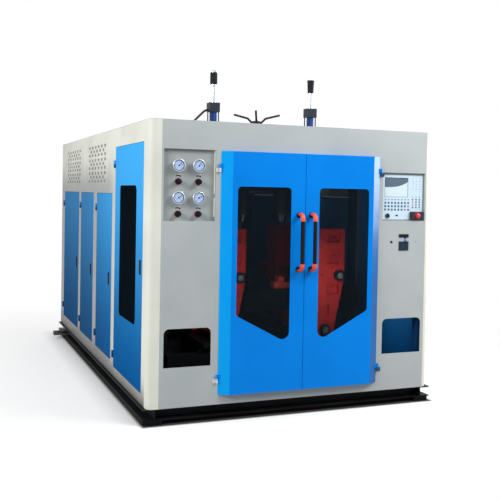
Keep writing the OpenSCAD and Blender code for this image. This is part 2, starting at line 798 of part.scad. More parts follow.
// Front door leaf, drawn for the right leaf: a pan with a slanted outer edge and a window
leaf_w = door_w / 2;
slant = atan2(door_proud, door_slant);
window_drop = (window_side_z - window_low_z) / (window_out - window_in);
function leaf_outline(t) =
    let (g = door_gap / 2 + t, f = -door_proud + t, b = t > 0 ? 1 : -run)
    [[g, b], [g, f], [leaf_w - door_slant - t * tan(slant / 2), f],
     [leaf_w - t / sin(slant) + b / tan(slant), b]];
function window_points(lap) =
    let (dz = lap * (1 + window_drop))
    rounded([[window_in - lap, window_top + lap], [window_out + lap, window_top + lap],
             [window_out + lap, window_side_z - dz + lap * window_drop],
             [window_in - lap, window_low_z - dz - lap * window_drop]],
            [window_r, window_r, window_r, window_low_r]);
module leaf() {
    difference() {
        translate([0, 0, door_z]) linear_extrude(door_h) polygon(leaf_outline(0));
        translate([0, 0, door_z + door_sheet]) linear_extrude(door_h - 2 * door_sheet)
            polygon(leaf_outline(door_sheet));
        xz_plate(-door_proud - 1, door_sheet + 2) polygon(window_points(0));
    }
    for (z = front_hinge_z) translate([leaf_w + hinge_off, -hinge_off, z])
        hinge_sleeve(wing_t / 2 - 0.5);
}
module pane() { xz_plate(-door_proud + door_sheet, glass_t) polygon(window_points(glass_lap)); }
neck = handle_reach - handle_bend;
module handle() {
    for (z = [handle_z, handle_z + handle_pitch]) {
        y_rod([handle_off, -door_proud - 10, z], handle_foot_d, 10);
        y_rod([handle_off, -door_proud - neck, z], handle_d, neck - tiny);
    }
    for (e = [0, 1]) translate([handle_off, -door_proud - neck, handle_z + e * handle_pitch])
        mirror([0, 0, e]) translate([0, 0, handle_bend]) rotate([0, -90, 0]) rotate([0, 0, 180])
            rotate_extrude(angle = 90) translate([handle_bend, 0]) circle(d = handle_d);
    translate([handle_off, -door_proud - handle_reach, handle_z + handle_bend])
        cylinder(d = handle_d, h = handle_pitch - 2 * handle_bend);
}
module at_door(s) { placed() translate([door_x, 0, 0]) mirror([s > 0 ? 0 : 1, 0, 0]) children(); }
module front_left_door() { color("#0b86e6") at_door(-1) leaf(); }
module front_right_door() { color("#0b86e6") at_door(1) leaf(); }
module front_left_window() { color("#16202a") at_door(-1) pane(); }
module front_right_window() { color("#16202a") at_door(1) pane(); }
module front_left_handle() { color("#24262a") at_door(-1) handle(); }
module front_right_handle() { color("#24262a") at_door(1) handle(); }

// Side door leaf: a pan that lies flush in its opening, hinged at its rear edge
side_win = [door_a_y + side_win_in, door_a_z + side_win_low, door_a_y + door_a_w - side_win_out,
            door_a_z + door_a_h - side_win_top];
side_win_r = 45;
module side_leaf(y, w, z, h, hinges, pad_y, pad_z) {
    x0 = -half_w;
    g = side_gap;
    t = door_sheet;
    difference() {
        span([x0, y + g, z + g], [x0 + side_door_t, y + w - g, z + h - g]);
        span([x0 + t, y + g + t, z + g + t], [x0 + side_door_t + 1, y + w - g - t, z + h - g - t]);
        children();
    }
    for (hz = hinges) side_hinge(y + w, hz) hinge_sleeve(hinge_off);
    span([x0 - paddle_out, pad_y - paddle_w / 2, pad_z - paddle_h / 2],
         [x0, pad_y + paddle_w / 2, pad_z + paddle_h / 2]);
}
module side_window_cut() {
    yz_plate(-half_w - 1, door_sheet + 2)
        polygon(rounded(box_points(side_win[0], side_win[1], side_win[2], side_win[3]),
                        [side_win_r, side_win_r, side_win_r, side_win_r]));
}
module door_a(s) {
    placed() side(s) side_leaf(door_a_y, door_a_w, door_a_z, door_a_h, a_hinge_z,
                               door_a_y + paddle_a_in, door_a_z + door_a_h / 2) side_window_cut();
}
module door_a_pane(s) {
    l = glass_lap;
    placed() side(s) yz_plate(-half_w + door_sheet, glass_t)
        polygon(rounded(box_points(side_win[0] - l, side_win[1] - l, side_win[2] + l,
                                   side_win[3] + l), [side_win_r, side_win_r, side_win_r, side_win_r]));
}
module rear_door(s, i) {
    placed() side(s) side_leaf(rear_door_y[i], rear_door_w[i], rear_door_z, rear_door_h,
                               rear_hinge_z, rear_door_y[i] + paddle_in, rear_door_z + paddle_up);
}
module left_door_a() { color("#2f8fe0") door_a(-1); }
module left_door_a_window() { color("#16202a") door_a_pane(-1); }
module left_door_b() { color("#2b7cc6") rear_door(-1, 0); }
module left_door_c() { color("#2b7cc6") rear_door(-1, 1); }
module left_door_d() { color("#2b7cc6") rear_door(-1, 2); }
module right_door_a() { color("#2f8fe0") door_a(1); }
module right_door_a_window() { color("#16202a") door_a_pane(1); }
module right_door_b() { color("#2b7cc6") rear_door(1, 0); }
module right_door_c() { color("#2b7cc6") rear_door(1, 1); }
module right_door_d() { color("#2b7cc6") rear_door(1, 2); }

// Blow cylinder: two end blocks, a barrel and four tie rods, on a plate under the roof beams
cyl_plate_t = 20;
cyl_top = cabinet_h + cyl_rise;
piston_h = 14;
module blow_cylinder() {
    b = cyl_block / 2;
    foot_z = beam_z;
    difference() {
        union() {
            span([-b - 60, -b - 16 - post_w, foot_z - cyl_plate_t],
                 [b + 60, b + 16 + post_w, foot_z]);
            span([-b, -b, foot_z], [b, b, foot_z + cyl_foot_h]);
            translate([0, 0, foot_z]) cylinder(d = barrel_d, h = cyl_top - foot_z);
            span([-b, -b, cyl_top], [b, b, cyl_top + cyl_block_h]);
            for (i = [-1, 1], j = [-1, 1]) translate([i * (b - 9), j * (b - 9), foot_z])
                cylinder(d = tie_d, h = cyl_top - foot_z);
        }
        translate([0, 0, foot_z - cyl_plate_t - 1])
            cylinder(d = rod_d + 2 * run, h = cyl_top + cyl_block_h - foot_z + cyl_plate_t + 2);
        translate([0, 0, foot_z + cyl_foot_h]) cylinder(d = barrel_d - 2 * barrel_wall,
                                                        h = cyl_top - foot_z - cyl_foot_h);
    }
}
module left_blow_cylinder() {
    color("#31415c") placed() translate([-station_x, parting_y, 0]) blow_cylinder();
}
module right_blow_cylinder() {
    color("#31415c") placed() translate([station_x, parting_y, 0]) blow_cylinder();
}

// Blow rod: one rod through the cylinder, a piston, a pin holder, a blow pin and a cap
cap_z = cyl_top + cyl_block_h + rod_show;
holder_h = 120;
module blow_rod() {
    rod_low = pin_tip_z + 180;
    translate([0, 0, rod_low]) cylinder(d = rod_d, h = cap_z - rod_low + 20);
    translate([0, 0, cyl_top - piston_h - 1])
        cylinder(d = barrel_d - 2 * barrel_wall - 2 * run, h = piston_h);
    translate([0, 0, rod_low - holder_h + 40]) cylinder(d = rod_d + 20, h = holder_h);
    translate([0, 0, pin_tip_z]) rotate_extrude()
        polygon([[0, 0], [pin_d / 2 - 5, 0], [pin_d / 2, 8], [pin_d / 2, rod_low - pin_tip_z],
                 [0, rod_low - pin_tip_z]]);
}
module round_cap() {
    r = cap_d / 2;
    rotate_extrude() polygon([[0, 0], [r - 1, 0], [r, 1], [r, 14], [r - 2, 15], [r - 2, 18],
        [r, 19], [r, cap_h - 22], [r - 2, cap_h - 20], [r - 2, cap_h - 13], [r - 6, cap_h - 6],
        [r - 14, cap_h - 1], [0, cap_h]]);
    for (k = [1:16]) rotate([0, 0, k * 22.5]) translate([r - 1, -2, 22]) cube([2.2, 4, cap_h - 47]);
}
module flared_cap() {
    r = cap_d / 2;
    rotate_extrude() polygon([[0, 0], [r - 5, 0], [r - 3, 4], [r + 2, low_cap_h - 4], [r + 3, low_cap_h],
        [r - 2, low_cap_h], [r - 6, low_cap_h - 22], [0, low_cap_h - 22]]);
}
module left_blow_rod() {
    color("#cfd8de") placed() translate([-station_x, parting_y, 0]) {
        blow_rod();
        translate([0, 0, cap_z]) round_cap();
    }
}
module right_blow_rod() {
    color("#cfd8de") placed() translate([station_x, parting_y, 0]) {
        blow_rod();
        translate([0, 0, cap_z]) flared_cap();
    }
}

// Air hose from the left cylinder's upper block, swept round two bends down to the roof
hose_d = 19;
hose_r = 60;
hose_turn = 45;
hose_steps = 6;
hose_sides = 12;
hose_start = [-station_x - cyl_block / 2 - run, parting_y, cyl_top + 14];
hose_fall = hose_start[2] - cabinet_h - hose_r;
hose_run = max(10, hose_fall / sin(hose_turn));
function hose_dir(a) = [-cos(a), 0, -sin(a)];
function bend_to(a) = hose_start + hose_r * [-sin(a), 0, cos(a) - 1];
function hose_centre(a, second) = second ? bend_to(a) + hose_run * hose_dir(hose_turn) : bend_to(a);
hose_rings = concat([for (i = [0:hose_steps]) [hose_turn * i / hose_steps, false]],
                    [for (i = [0:hose_steps]) [hose_turn + (90 - hose_turn) * i / hose_steps, true]]);
function hose_point(g, t) = hose_centre(g[0], g[1])
    + hose_d / 2 * (cos(t) * [0, 1, 0] + sin(t) * [-sin(g[0]), 0, cos(g[0])]);
module air_hose() {
    n = hose_sides;
    last = len(hose_rings) - 1;
    color("#1b1c1e") placed() polyhedron(
        points = [for (g = hose_rings, j = [0:n - 1]) hose_point(g, j * 360 / n)],
        faces = concat([[for (j = [0:n - 1]) j]], [[for (j = [0:n - 1]) last * n + n - 1 - j]],
            [for (i = [0:last - 1], j = [0:n - 1])
                [i * n + (j + 1) % n, i * n + j, (i + 1) * n + j, (i + 1) * n + (j + 1) % n]]));
}

// Bed: two beams on legs with slide rails on top, and the extruder's pedestal
bed_half = half_w - 275;
beam_w = 100;
beam_h = 120;
slide_half = station_x + carriage_half + 30;
drive_half = 200;
drive_z = screw_z - drive_half;
stand_w = 80;
desk_t = 40;
catch_w = 200;
catch_z = [690, 860];
bracket_x = [130, 285];
bracket_h = 55;
module hollow_leg(x, y, w, d, z1) {
    difference() {
        span([x, y - d / 2, body_z], [x + w, y + d / 2, z1]);
        span([x + rail_t, y - d / 2 + rail_t, body_z - 1],
             [x + w - rail_t, y + d / 2 - rail_t, z1 - rail_t]);
    }
}
module machine_bed() {
    beam_low = bed_top - beam_h;
    color("#3a3e42") placed() {
        for (y = slide_y) {
            hollow_beam(-bed_half, bed_half, y, beam_w, beam_low, bed_top);
            for (x = [-bed_half, -beam_w / 2, bed_half - beam_w])
                hollow_leg(x, y, beam_w, beam_w, beam_low);
            span([-slide_half, y - slide_w / 2, bed_top], [slide_half, y + slide_w / 2,
                                                            bed_top + slide_h]);
        }
        for (s = [-1, 1]) side(s) {
            tube_y(-bed_half, slide_y[0] + beam_w / 2 - 1, slide_y[1] - beam_w / 2 + 1, beam_low);
            span([-bed_half, parting_y - stand_w / 2, bed_top],
                 [-bed_half + stand_w, parting_y + stand_w / 2, catch_z[0]]);
        }
        hollow_beam(-bed_half, bed_half, parting_y, catch_w, catch_z[0], catch_z[1]);
        span([bracket_x[0], parting_y - 20, catch_z[1]],
             [bracket_x[1], parting_y + 60, catch_z[1] + bracket_h]);
        span([bracket_x[0] + 35, parting_y - 20, catch_z[1] + bracket_h],
             [bracket_x[0] + 90, parting_y + 60, bar_z - bar_d / 2 - 13]);
        for (y = stand_ys, x = [-drive_half, drive_half - stand_w])
            hollow_leg(x, y, stand_w, stand_w, drive_z - desk_t);
        span([-drive_half, stand_ys[0] - stand_w / 2 - 10, drive_z - desk_t],
             [drive_half, stand_ys[1] + stand_w / 2 + 10, drive_z]);
    }
}
module tube_y(x, y0, y1, z) {
    difference() {
        span([x, y0, z], [x + beam_w, y1, bed_top]);
        span([x + rail_t, y0 - 1, z + rail_t], [x + beam_w - rail_t, y1 + 1, bed_top - rail_t]);
    }
}

// Carriage: a plate on four saddles, with a guide rail for the platens' feet
plate_z = bed_top + slide_h + 22;
guide_z = plate_z + carriage_t;
guide_w = 40;
front_face = parting_y - daylight / 2 - platen_t;
rear_face = parting_y + daylight / 2 + platen_t;
module carriage() {
    y0 = front_face - 20;
    y1 = rear_face + 20;
    difference() {
        union() {
            span([-carriage_half, y0, plate_z], [carriage_half, y1, guide_z]);
            for (y = slide_y, x = [-carriage_half, carriage_half - 110])
                span([x, y - slide_w, bed_top + 2], [x + 110, y + slide_w, plate_z]);
        }
        for (y = slide_y)
            span([-carriage_half - 1, y - slide_w / 2 - run, bed_top],
                 [carriage_half + 1, y + slide_w / 2 + run, bed_top + slide_h + run]);
    }
    span([-guide_w / 2, y0 + 10, guide_z], [guide_w / 2, y1 - 10, guide_z + guide_h]);
}

// Platens: cast plates that taper downwards, with pockets, tie bar holes and a foot
bar_spots = [[-bar_x, 0, bar_z], [bar_x, 0, bar_z], [0, 0, bar_low_z]];
mould_dx = 110;
mould_z = [1085, 1325];
mould_hole_d = 16;
function platen_points() =
    rounded([[-platen_low_w / 2, platen_low], [platen_low_w / 2, platen_low],
             [platen_w / 2, platen_knee], [platen_w / 2, platen_top],
             [-platen_w / 2, platen_top], [-platen_w / 2, platen_knee]],
            [40, 40, 60, 14, 14, 60]);
pockets = [[12, 1278, 136, 1369], [12, 1096, 136, 1217], [14, 843, 126, 928], [-44, 668, 42, 756],
           [-136, 1278, -64, 1369], [-136, 1096, -64, 1217], [-126, 843, -64, 928]];
module platen_plate(y, t, pocket_y, bore) {
    difference() {
        union() {
            xz_plate(y, t) polygon(platen_points());
            span([-65, y, guide_z + run], [65, y + t, platen_low + 60]);
        }
        for (p = bar_spots) y_rod([p[0], y - 1, p[2]], bore, t + 2);
        span([-guide_w / 2 - run, y - 1, guide_z], [guide_w / 2 + run, y + t + 1,
                                                     guide_z + guide_h + run]);
        for (q = pockets) span([q[0], pocket_y, q[1]], [q[2], pocket_y + 30, q[3]]);
        children();
    }
}
module mould_holes(y) {
    for (x = [-mould_dx, mould_dx], z = mould_z) y_rod([x, y, z], mould_hole_d, 31);
}
bar_bore = bar_d + 2 * run;
module front_platen() {
    platen_plate(front_face, platen_t, front_face - 1, bar_bore) {
        mould_holes(front_face + platen_t - 30);
        for (q = pockets)
            span([q[0] + slot_in, front_face - 1, pocket_slot_z(q) - 8],
                 [q[2] - slot_in, front_face + 45, pocket_slot_z(q) + 8]);
        y_rod([-27, front_face - 1, bar_z + 7], 18, 31);
    }
}
slot_in = 24;
function pocket_slot_z(q) = q[3] - 0.4 * (q[3] - q[1]);
module moving_platen() {
    back = rear_face;
    platen_plate(back - platen_t, platen_t, back - 29, bar_bore) {
        mould_holes(back - platen_t - 1);
    }
    y_rod([0, back, bar_z - 60], ram_d, ram_len);
}

// Tie bars with their nuts, the rear crosshead and the clamp cylinder behind it
head_y = rear_face + 60;
ram_len = 60 + crosshead_t + 2 * clamp_stroke + 40;
ram_tube_len = 2 * clamp_stroke + 60;
bar_end = head_y + crosshead_t + nut_t + 8;
module tie_bars() {
    y0 = front_face - nut_t - 8;
    for (p = bar_spots) {
        y_rod([p[0], y0, p[2]], bar_d, bar_end - y0);
        y_rod([p[0], front_face - nut_t, p[2]], nut_d, nut_t - run);
    }
    difference() {
        union() {
            xz_plate(head_y, crosshead_t) polygon(platen_points());
            for (p = bar_spots) y_rod([p[0], head_y + crosshead_t, p[2]], nut_d, nut_t);
            y_rod([0, head_y + crosshead_t, bar_z - 60], ram_tube_d, ram_tube_len);
            span([-70, head_y + crosshead_t + ram_tube_len, bar_z - 130],
                 [70, head_y + crosshead_t + ram_tube_len + 150, bar_z + 10]);
        }
        y_rod([0, head_y - 1, bar_z - 60], ram_d + 2 * run, ram_len);
    }
}
module at_station(s) { placed() translate([s * station_x, 0, 0]) children(); }
module left_carriage() { color("#b02a2c") at_station(-1) carriage(); }
module left_front_platen() { color("#c22f31") at_station(-1) front_platen(); }
module left_tie_bars() { color("#3b3f44") at_station(-1) tie_bars(); }
module left_moving_platen() { color("#9c2527") at_station(-1) moving_platen(); }
module right_carriage() { color("#b02a2c") at_station(1) carriage(); }
module right_front_platen() { color("#c22f31") at_station(1) front_platen(); }
module right_tie_bars() { color("#3b3f44") at_station(1) tie_bars(); }
module right_moving_platen() { color("#9c2527") at_station(1) moving_platen(); }

// Die head: a manifold with two dies, an adapter towards the extruder and the adjusting screw
head_w = 2 * die_x + die_d + 20;
head_h = 160;
adapter_y = adjust_y + 75;
module die_head() {
    z0 = screw_z - head_h / 2;
    color("#6b6f73") placed() {
        span([-head_w / 2, parting_y - 80, z0], [head_w / 2, parting_y + 80, z0 + head_h]);
        span([-80, parting_y + 79, z0], [80, adapter_y, z0 + head_h]);
        for (s = [-1, 1]) translate([s * die_x, parting_y, 0]) {
            translate([0, 0, die_z + 60]) cylinder(d = die_d, h = z0 - die_z - 59);
            translate([0, 0, die_z]) cylinder(d1 = die_d * 0.55, d2 = die_d * 0.8, h = 61);
            translate([0, 0, z0 + head_h - 1]) cylinder(d = die_d * 0.6, h = 60);
        }
        translate([0, adjust_y, z0 + head_h - 1])
            cylinder(d = adjust_d, h = cabinet_h + adjust_top - z0 - head_h + 1);
    }
}

// Adjusting handle: a hub on the screw, just above the roof, with three bent arms
hub_z = cabinet_h + 3;
hub_h = 100;
hub_d = 74;
arm_d = 18;
handle_turn = 7;
arm_points = [[22, 0, hub_h - 34], [90, 0, hub_h + 28], [230, 0, hub_h + 65]];
module bar_between(a, b, d) {
    v = b - a;
    translate(a) rotate([0, acos(v[2] / norm(v)), atan2(v[1], v[0])]) cylinder(d = d, h = norm(v));
}
module arm() {
    bar_between(arm_points[0], arm_points[1], arm_d);
    bar_between(arm_points[1], arm_points[2], arm_d);
    translate(arm_points[1]) sphere(d = arm_d);
}
module adjusting_handle() {
    color("#2a2c2f") placed() translate([0, adjust_y, hub_z]) rotate([0, 0, handle_turn])
        difference() {
            union() {
                cylinder(d = hub_d, h = hub_h);
                for (a = [0, 120, 240]) rotate([0, 0, a]) arm();
            }
            translate([0, 0, -1]) cylinder(d = adjust_d + 2 * run, h = hub_h + 2);
        }
}

// Extruder barrel with heater bands, a feed throat and the hopper that it carries
throat_z = screw_z + extruder_d / 2;
throat_d = 110;
hopper_low = throat_z + 90;
hopper_top = cabinet_h + 40;
module hopper_shell(o) {
    r = hopper_d / 2 + o;
    rotate_extrude() polygon([[0, hopper_low - (o > 0 ? 0 : 1)], [50 + o, hopper_low],
        [r, top_z - 50], [r, hopper_top + (o > 0 ? 0 : 1)], [0, hopper_top + (o > 0 ? 0 : 1)]]);
}
module extruder_barrel() {
    y1 = extruder_end;
    bands = 5;
    band_l = 190;
    band_gap = (hopper_y - 150 - adapter_y - 60 - bands * band_l) / (bands - 1);
    color("#8b8f94") placed() {
        y_rod([0, adapter_y, screw_z], extruder_d, y1 - adapter_y);
        y_rod([0, adapter_y, screw_z], extruder_d + 60, 30);
        for (i = [0:bands - 1]) y_rod([0, adapter_y + 60 + i * (band_l + band_gap), screw_z],
                                      extruder_d + 36, band_l);
        span([-90, hopper_y - 90, screw_z - 90], [90, hopper_y + 90, throat_z + 20]);
        translate([0, hopper_y, throat_z]) cylinder(d = throat_d, h = hopper_low - throat_z);
        translate([0, hopper_y, 0]) difference() {
            hopper_shell(sheet_t);
            hopper_shell(0);
        }
    }
}

// Extruder drive: a gearbox on the pedestal and a servo motor behind it
gear_l = 400;
motor_d = 300;
motor_l = 460;
flange_t = 30;
box_w = 140;
box_y = 120;
box_h = 70;
module extruder_drive() {
    y0 = extruder_end;
    color("#4b5a6b") placed() {
        span([-drive_half, y0, drive_z], [drive_half, y0 + gear_l, screw_z + drive_half]);
        y_rod([0, y0 + gear_l - 1, screw_z], motor_d, motor_l);
        y_rod([0, y0 + gear_l - 1, screw_z], motor_d + 50, flange_t);
        span([-box_w / 2, y0 + gear_l + box_y, screw_z + motor_d / 2 - 20],
             [box_w / 2, y0 + gear_l + box_y + box_w, screw_z + motor_d / 2 + box_h]);
    }
}

base_frame();
cabinet_frame();
front_sheet();
left_corner_column();
right_corner_column();
left_front_side_sheet();
right_front_side_sheet();
left_rear_side_sheet();
right_rear_side_sheet();
left_vent_sheet();
right_vent_sheet();
roof_sheet();
rear_sheet();
hinge_pins();
gauge_panel();
pressure_gauges();
regulator_bodies();
control_panel();
control_screen();
main_breaker();
breaker_toggle();
emergency_button();
regulator_knob_1();
regulator_knob_2();
regulator_knob_3();
regulator_knob_4();
front_left_door();
front_left_window();
front_left_handle();
front_right_door();
front_right_window();
front_right_handle();
left_door_a();
left_door_a_window();
left_door_b();
left_door_c();
left_door_d();
right_door_a();
right_door_a_window();
right_door_b();
right_door_c();
right_door_d();
left_blow_cylinder();
right_blow_cylinder();
left_blow_rod();
right_blow_rod();
air_hose();
machine_bed();
left_carriage();
left_front_platen();
left_tie_bars();
left_moving_platen();
right_carriage();
right_front_platen();
right_tie_bars();
right_moving_platen();
die_head();
adjusting_handle();
extruder_barrel();
extruder_drive();
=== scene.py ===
"""Blow moulding machine: the painted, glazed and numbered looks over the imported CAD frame."""

import math

import bmesh
import bpy
from mathutils import Euler, Matrix, Vector


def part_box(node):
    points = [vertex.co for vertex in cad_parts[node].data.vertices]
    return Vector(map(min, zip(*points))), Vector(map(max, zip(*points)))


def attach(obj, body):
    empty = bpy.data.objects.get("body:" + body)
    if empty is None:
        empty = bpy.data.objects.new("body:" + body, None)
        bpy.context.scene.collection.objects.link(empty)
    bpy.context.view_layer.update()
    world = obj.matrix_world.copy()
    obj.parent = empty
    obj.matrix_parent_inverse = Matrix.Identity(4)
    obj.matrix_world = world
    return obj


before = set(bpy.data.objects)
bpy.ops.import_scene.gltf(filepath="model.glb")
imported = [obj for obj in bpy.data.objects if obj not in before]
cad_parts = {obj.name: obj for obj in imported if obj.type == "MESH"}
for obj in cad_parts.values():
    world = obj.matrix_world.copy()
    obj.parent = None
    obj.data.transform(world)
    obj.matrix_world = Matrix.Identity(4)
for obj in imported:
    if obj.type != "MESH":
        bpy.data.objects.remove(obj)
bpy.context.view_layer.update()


# Camera: it stands left of the machine's front at eye height, with a slightly long lens. Its frame
# is shifted a little, as a cropped product photograph's is.
camera = bpy.data.cameras.new("camera")
camera.sensor_width = 36
camera.lens = 58.76
camera.shift_x = -0.0405
camera.shift_y = -0.0725
camera.clip_end = 100
camera_turns = (88.479, -1.089, -22.598)
camera_stand = bpy.data.objects.new("camera", camera)
camera_stand.location = (-2.6114, -7.6827, 1.6909)
camera_stand.rotation_euler = Euler([math.radians(turn) for turn in camera_turns])
bpy.context.scene.collection.objects.link(camera_stand)
bpy.context.scene.camera = camera_stand
bpy.context.scene.view_settings.view_transform = "Standard"


# Base: rolled steel channels, cross members and pads, welded and sprayed satin black. The steel
# keeps a faint, broad waviness under the paint, and workshop dust lies on the two anchor lugs.
def srgb(code):
    """The linear colour of an sRGB hex value."""
    parts = [int(code[i:i + 2], 16) / 255 for i in (1, 3, 5)]
    return [c / 12.92 if c <= 0.04045 else ((c + 0.055) / 1.055) ** 2.4 for c in parts] + [1.0]


def add(tree, kind, settings=None, links=None):
    """Adds one node, with its settings by name and its inputs' values or links by socket."""
    node = tree.nodes.new(kind)
    for name, value in (settings or {}).items():
        setattr(node, name, value)
    for socket, value in (links or {}).items():
        if isinstance(value, bpy.types.NodeSocket):
            tree.links.new(value, node.inputs[socket])
        else:
            node.inputs[socket].default_value = value
    return node


def new_material(name, **sockets):
    """A material with one Principled shader, whose sockets are set by name."""
    material = bpy.data.materials.new(name)
    material.use_nodes = True
    shader = material.node_tree.nodes["Principled BSDF"]
    for socket, value in sockets.items():
        shader.inputs[socket.replace("_", " ")].default_value = value
    return material, material.node_tree, shader


# A Mix node of colours takes them at its inputs 6 and 7 and gives the mix at its output 2.
mix_low, mix_high, mix_out = 6, 7, 2
drift_mm = 455
wave_mm = 625


def painted_steel(name, colour, worn, roughness, peel_mm, waviness=0.05, coat=0.0, gloss=0.1):
    """Sprayed paint on steel: a tone that drifts to a worn one, orange peel, and broad waves.

    Real orange peel is 1 to 3 mm wide. It is drawn coarser, so that it shows at this distance.
    """
    material, tree, shader = new_material(
        name, Roughness=roughness, Specular_IOR_Level=gloss, Coat_Weight=coat,
        Coat_Roughness=0.08, Coat_IOR=1.2)
    place = add(tree, "ShaderNodeTexCoord").outputs["Object"]
    drift = add(tree, "ShaderNodeTexNoise", links={
        "Vector": place, "Scale": 1000 / drift_mm, "Detail": 3.0})
    spread = add(tree, "ShaderNodeMapRange", links={
        "Value": drift.outputs["Fac"], "From Min": 0.42, "From Max": 0.72})
    tone = add(tree, "ShaderNodeMix", {"data_type": "RGBA"}, {
        "Factor": spread.outputs["Result"], mix_low: srgb(colour), mix_high: srgb(worn)})
    tree.links.new(tone.outputs[mix_out], shader.inputs["Base Color"])
    peel = add(tree, "ShaderNodeTexNoise", links={"Vector": place, "Scale": 1000 / peel_mm})
    shine = add(tree, "ShaderNodeMapRange", links={
        "Value": peel.outputs["Fac"], "To Min": roughness - 0.05, "To Max": roughness + 0.07})
    tree.links.new(shine.outputs["Result"], shader.inputs["Roughness"])
    waves = add(tree, "ShaderNodeTexNoise", links={
        "Vector": place, "Scale": 1000 / wave_mm, "Detail": 1.0})
    broad = add(tree, "ShaderNodeBump", links={
        "Height": waves.outputs["Fac"], "Strength": waviness, "Distance": 0.05})
    bump = add(tree, "ShaderNodeBump", links={
        "Height": peel.outputs["Fac"], "Strength": 0.12, "Distance": 0.0006,
        "Normal": broad.outputs["Normal"]})
    tree.links.new(bump.outputs["Normal"], shader.inputs["Normal"])
    return material


def dress(node, *materials):
    """Gives a CAD node its materials, the first one all over."""
    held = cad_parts[node].data
    held.materials.clear()
    for material in materials:
        held.materials.append(material)
    for face in held.polygons:
        face.material_index = 0


def dress_where(node, index, test):
    """Gives another of its materials to the faces of a CAD node whose centre and normal pass."""
    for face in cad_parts[node].data.polygons:
        if test(face.center, face.normal):
            face.material_index = index


# Satin black swallows nearly all the light, and the dust on the lugs shows as a flat grey.
black_paint = painted_steel("satin_black_chassis_paint", "#08090B", "#14161A", 0.5, peel_mm=9)
dusty_paint = painted_steel("dusty_black_chassis_paint", "#4E4E52", "#64646A", 0.6, peel_mm=9)
lug_x = 1.2005
dress("base_frame", black_paint, dusty_paint)
dress_where("base_frame", 1, lambda spot, normal: abs(spot.x) > lug_x)


# Cabinet frame: square steel tube, welded up and bolted to the base. Its dark blue is painted
# shade with little gloss, so it stays a dull shape behind the panes.
# The tubes' dark blue is painted shade for the inside of the cabinet.
frame_shade_blue = painted_steel("dark_blue_tube_painted_shade", "#0E3F6B", "#0B3357", 0.5, peel_mm=7)
dress("cabinet_frame", frame_shade_blue)


# Cabinet sheets: folded steel sheet, powder coated and screwed to the tubes. The front, roof and
# rear are light grey, and the rounded corner columns and the sides are ivory. A painted dark
# reflection greys the sides below the roof's edge towards the rear, and the sides are darker a
# little way up from the floor.
front_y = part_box("front_sheet")[0].y
wall_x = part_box("roof_sheet")[1].x
reflection_top, reflection_full, reflection_most = 2.03, 1.66, 0.78
reflection_front, reflection_rear = -1.05, -0.5
low_dark_cloud_mm = 200
low_dark_top, low_dark_wander = 0.26, 0.16
low_dark_full, low_dark_most = 0.11, 0.9


def climb(material, axis, start, end, most=1.0):
    """A share that grows from 0 to the most while a spot goes from start to end along an axis."""
    tree = material.node_tree
    place = add(tree, "ShaderNodeTexCoord").outputs["Object"]
    split = add(tree, "ShaderNodeSeparateXYZ", links={"Vector": place})
    eased = add(tree, "ShaderNodeMapRange", {"interpolation_type": "SMOOTHSTEP"}, {
        "Value": split.outputs[axis], "From Min": start, "From Max": end, "To Max": most})
    return eased.outputs["Result"]


def lay_over(material, share, colour):
    """Lays a colour over a material's own tone, as far as a share says."""
    tree = material.node_tree
    base = tree.nodes["Principled BSDF"].inputs["Base Color"]
    laid = add(tree, "ShaderNodeMix", {"data_type": "RGBA"}, {
        "Factor": share, mix_low: base.links[0].from_socket, mix_high: colour})
    tree.links.new(laid.outputs[mix_out], base)


# Powder coat has a soft, even sheen with a fine orange peel. On the sides a painted reflection
# turns it a plain grey, and low down it is darker, up to a ragged edge.
sheet_grey = painted_steel("light_grey_powder_coat", "#B4BABB", "#ACB3B5", 0.4, peel_mm=6,
                           waviness=0.1)
sheet_ivory = painted_steel("ivory_powder_coat", "#E2E4D9", "#D9DBD0", 0.38, peel_mm=6,
                            waviness=0.08)
sheet_side = painted_steel("ivory_powder_coat_painted_reflection", "#E3E5DA", "#D0D2C6", 0.38, peel_mm=6,
                           waviness=0.12)
side_sheet_tree = sheet_side.node_tree
# Painted dark reflection: a grey laid over the sides below the roof's edge, towards the rear.
painted_reflection_share = add(side_sheet_tree, "ShaderNodeMath", {"operation": "MULTIPLY"}, {
    0: climb(sheet_side, "Z", reflection_top, reflection_full, reflection_most),
    1: climb(sheet_side, "Y", reflection_front, reflection_rear)})
lay_over(sheet_side, painted_reflection_share.outputs["Value"], srgb("#7F8387"))
# The sides are darker towards the bottom, up to a ragged edge.
low_dark_place = add(side_sheet_tree, "ShaderNodeTexCoord").outputs["Object"]
low_dark_cloud = add(side_sheet_tree, "ShaderNodeTexNoise", links={
    "Vector": low_dark_place, "Scale": 1000 / low_dark_cloud_mm})
low_dark_border = add(side_sheet_tree, "ShaderNodeMath", {"operation": "MULTIPLY_ADD"}, {
    0: low_dark_cloud.outputs["Fac"], 1: low_dark_wander, 2: low_dark_top})
low_dark_share = climb(sheet_side, "Z", low_dark_border.outputs["Value"], low_dark_full, low_dark_most)
lay_over(sheet_side, low_dark_share, srgb("#5F5D5B"))
for node in ("front_sheet", "roof_sheet", "rear_sheet"):
    dress(node, sheet_grey)
for side in ("left", "right"):
    dress(f"{side}_corner_column", sheet_ivory)
    for part in ("front_side_sheet", "rear_side_sheet", "vent_sheet"):
        dress(f"{side}_{part}", sheet_side)


# Vent gauze: woven zinc-plated wire in four panels, clipped behind the slots of the vent sheets.
# Its dull grey keeps the slots from looking black.
def finish_piece(name, mesh, materials, body):
    """Makes an object of a bmesh, which rides on a body and takes the given materials."""
    bmesh.ops.recalc_face_normals(mesh, faces=mesh.faces)
    data = bpy.data.meshes.new(name)
    mesh.to_mesh(data)
    mesh.free()
    for material in materials:
        data.materials.append(material)
    piece = bpy.data.objects.new(name, data)
    bpy.context.scene.collection.objects.link(piece)
    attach(piece, body)
    return piece


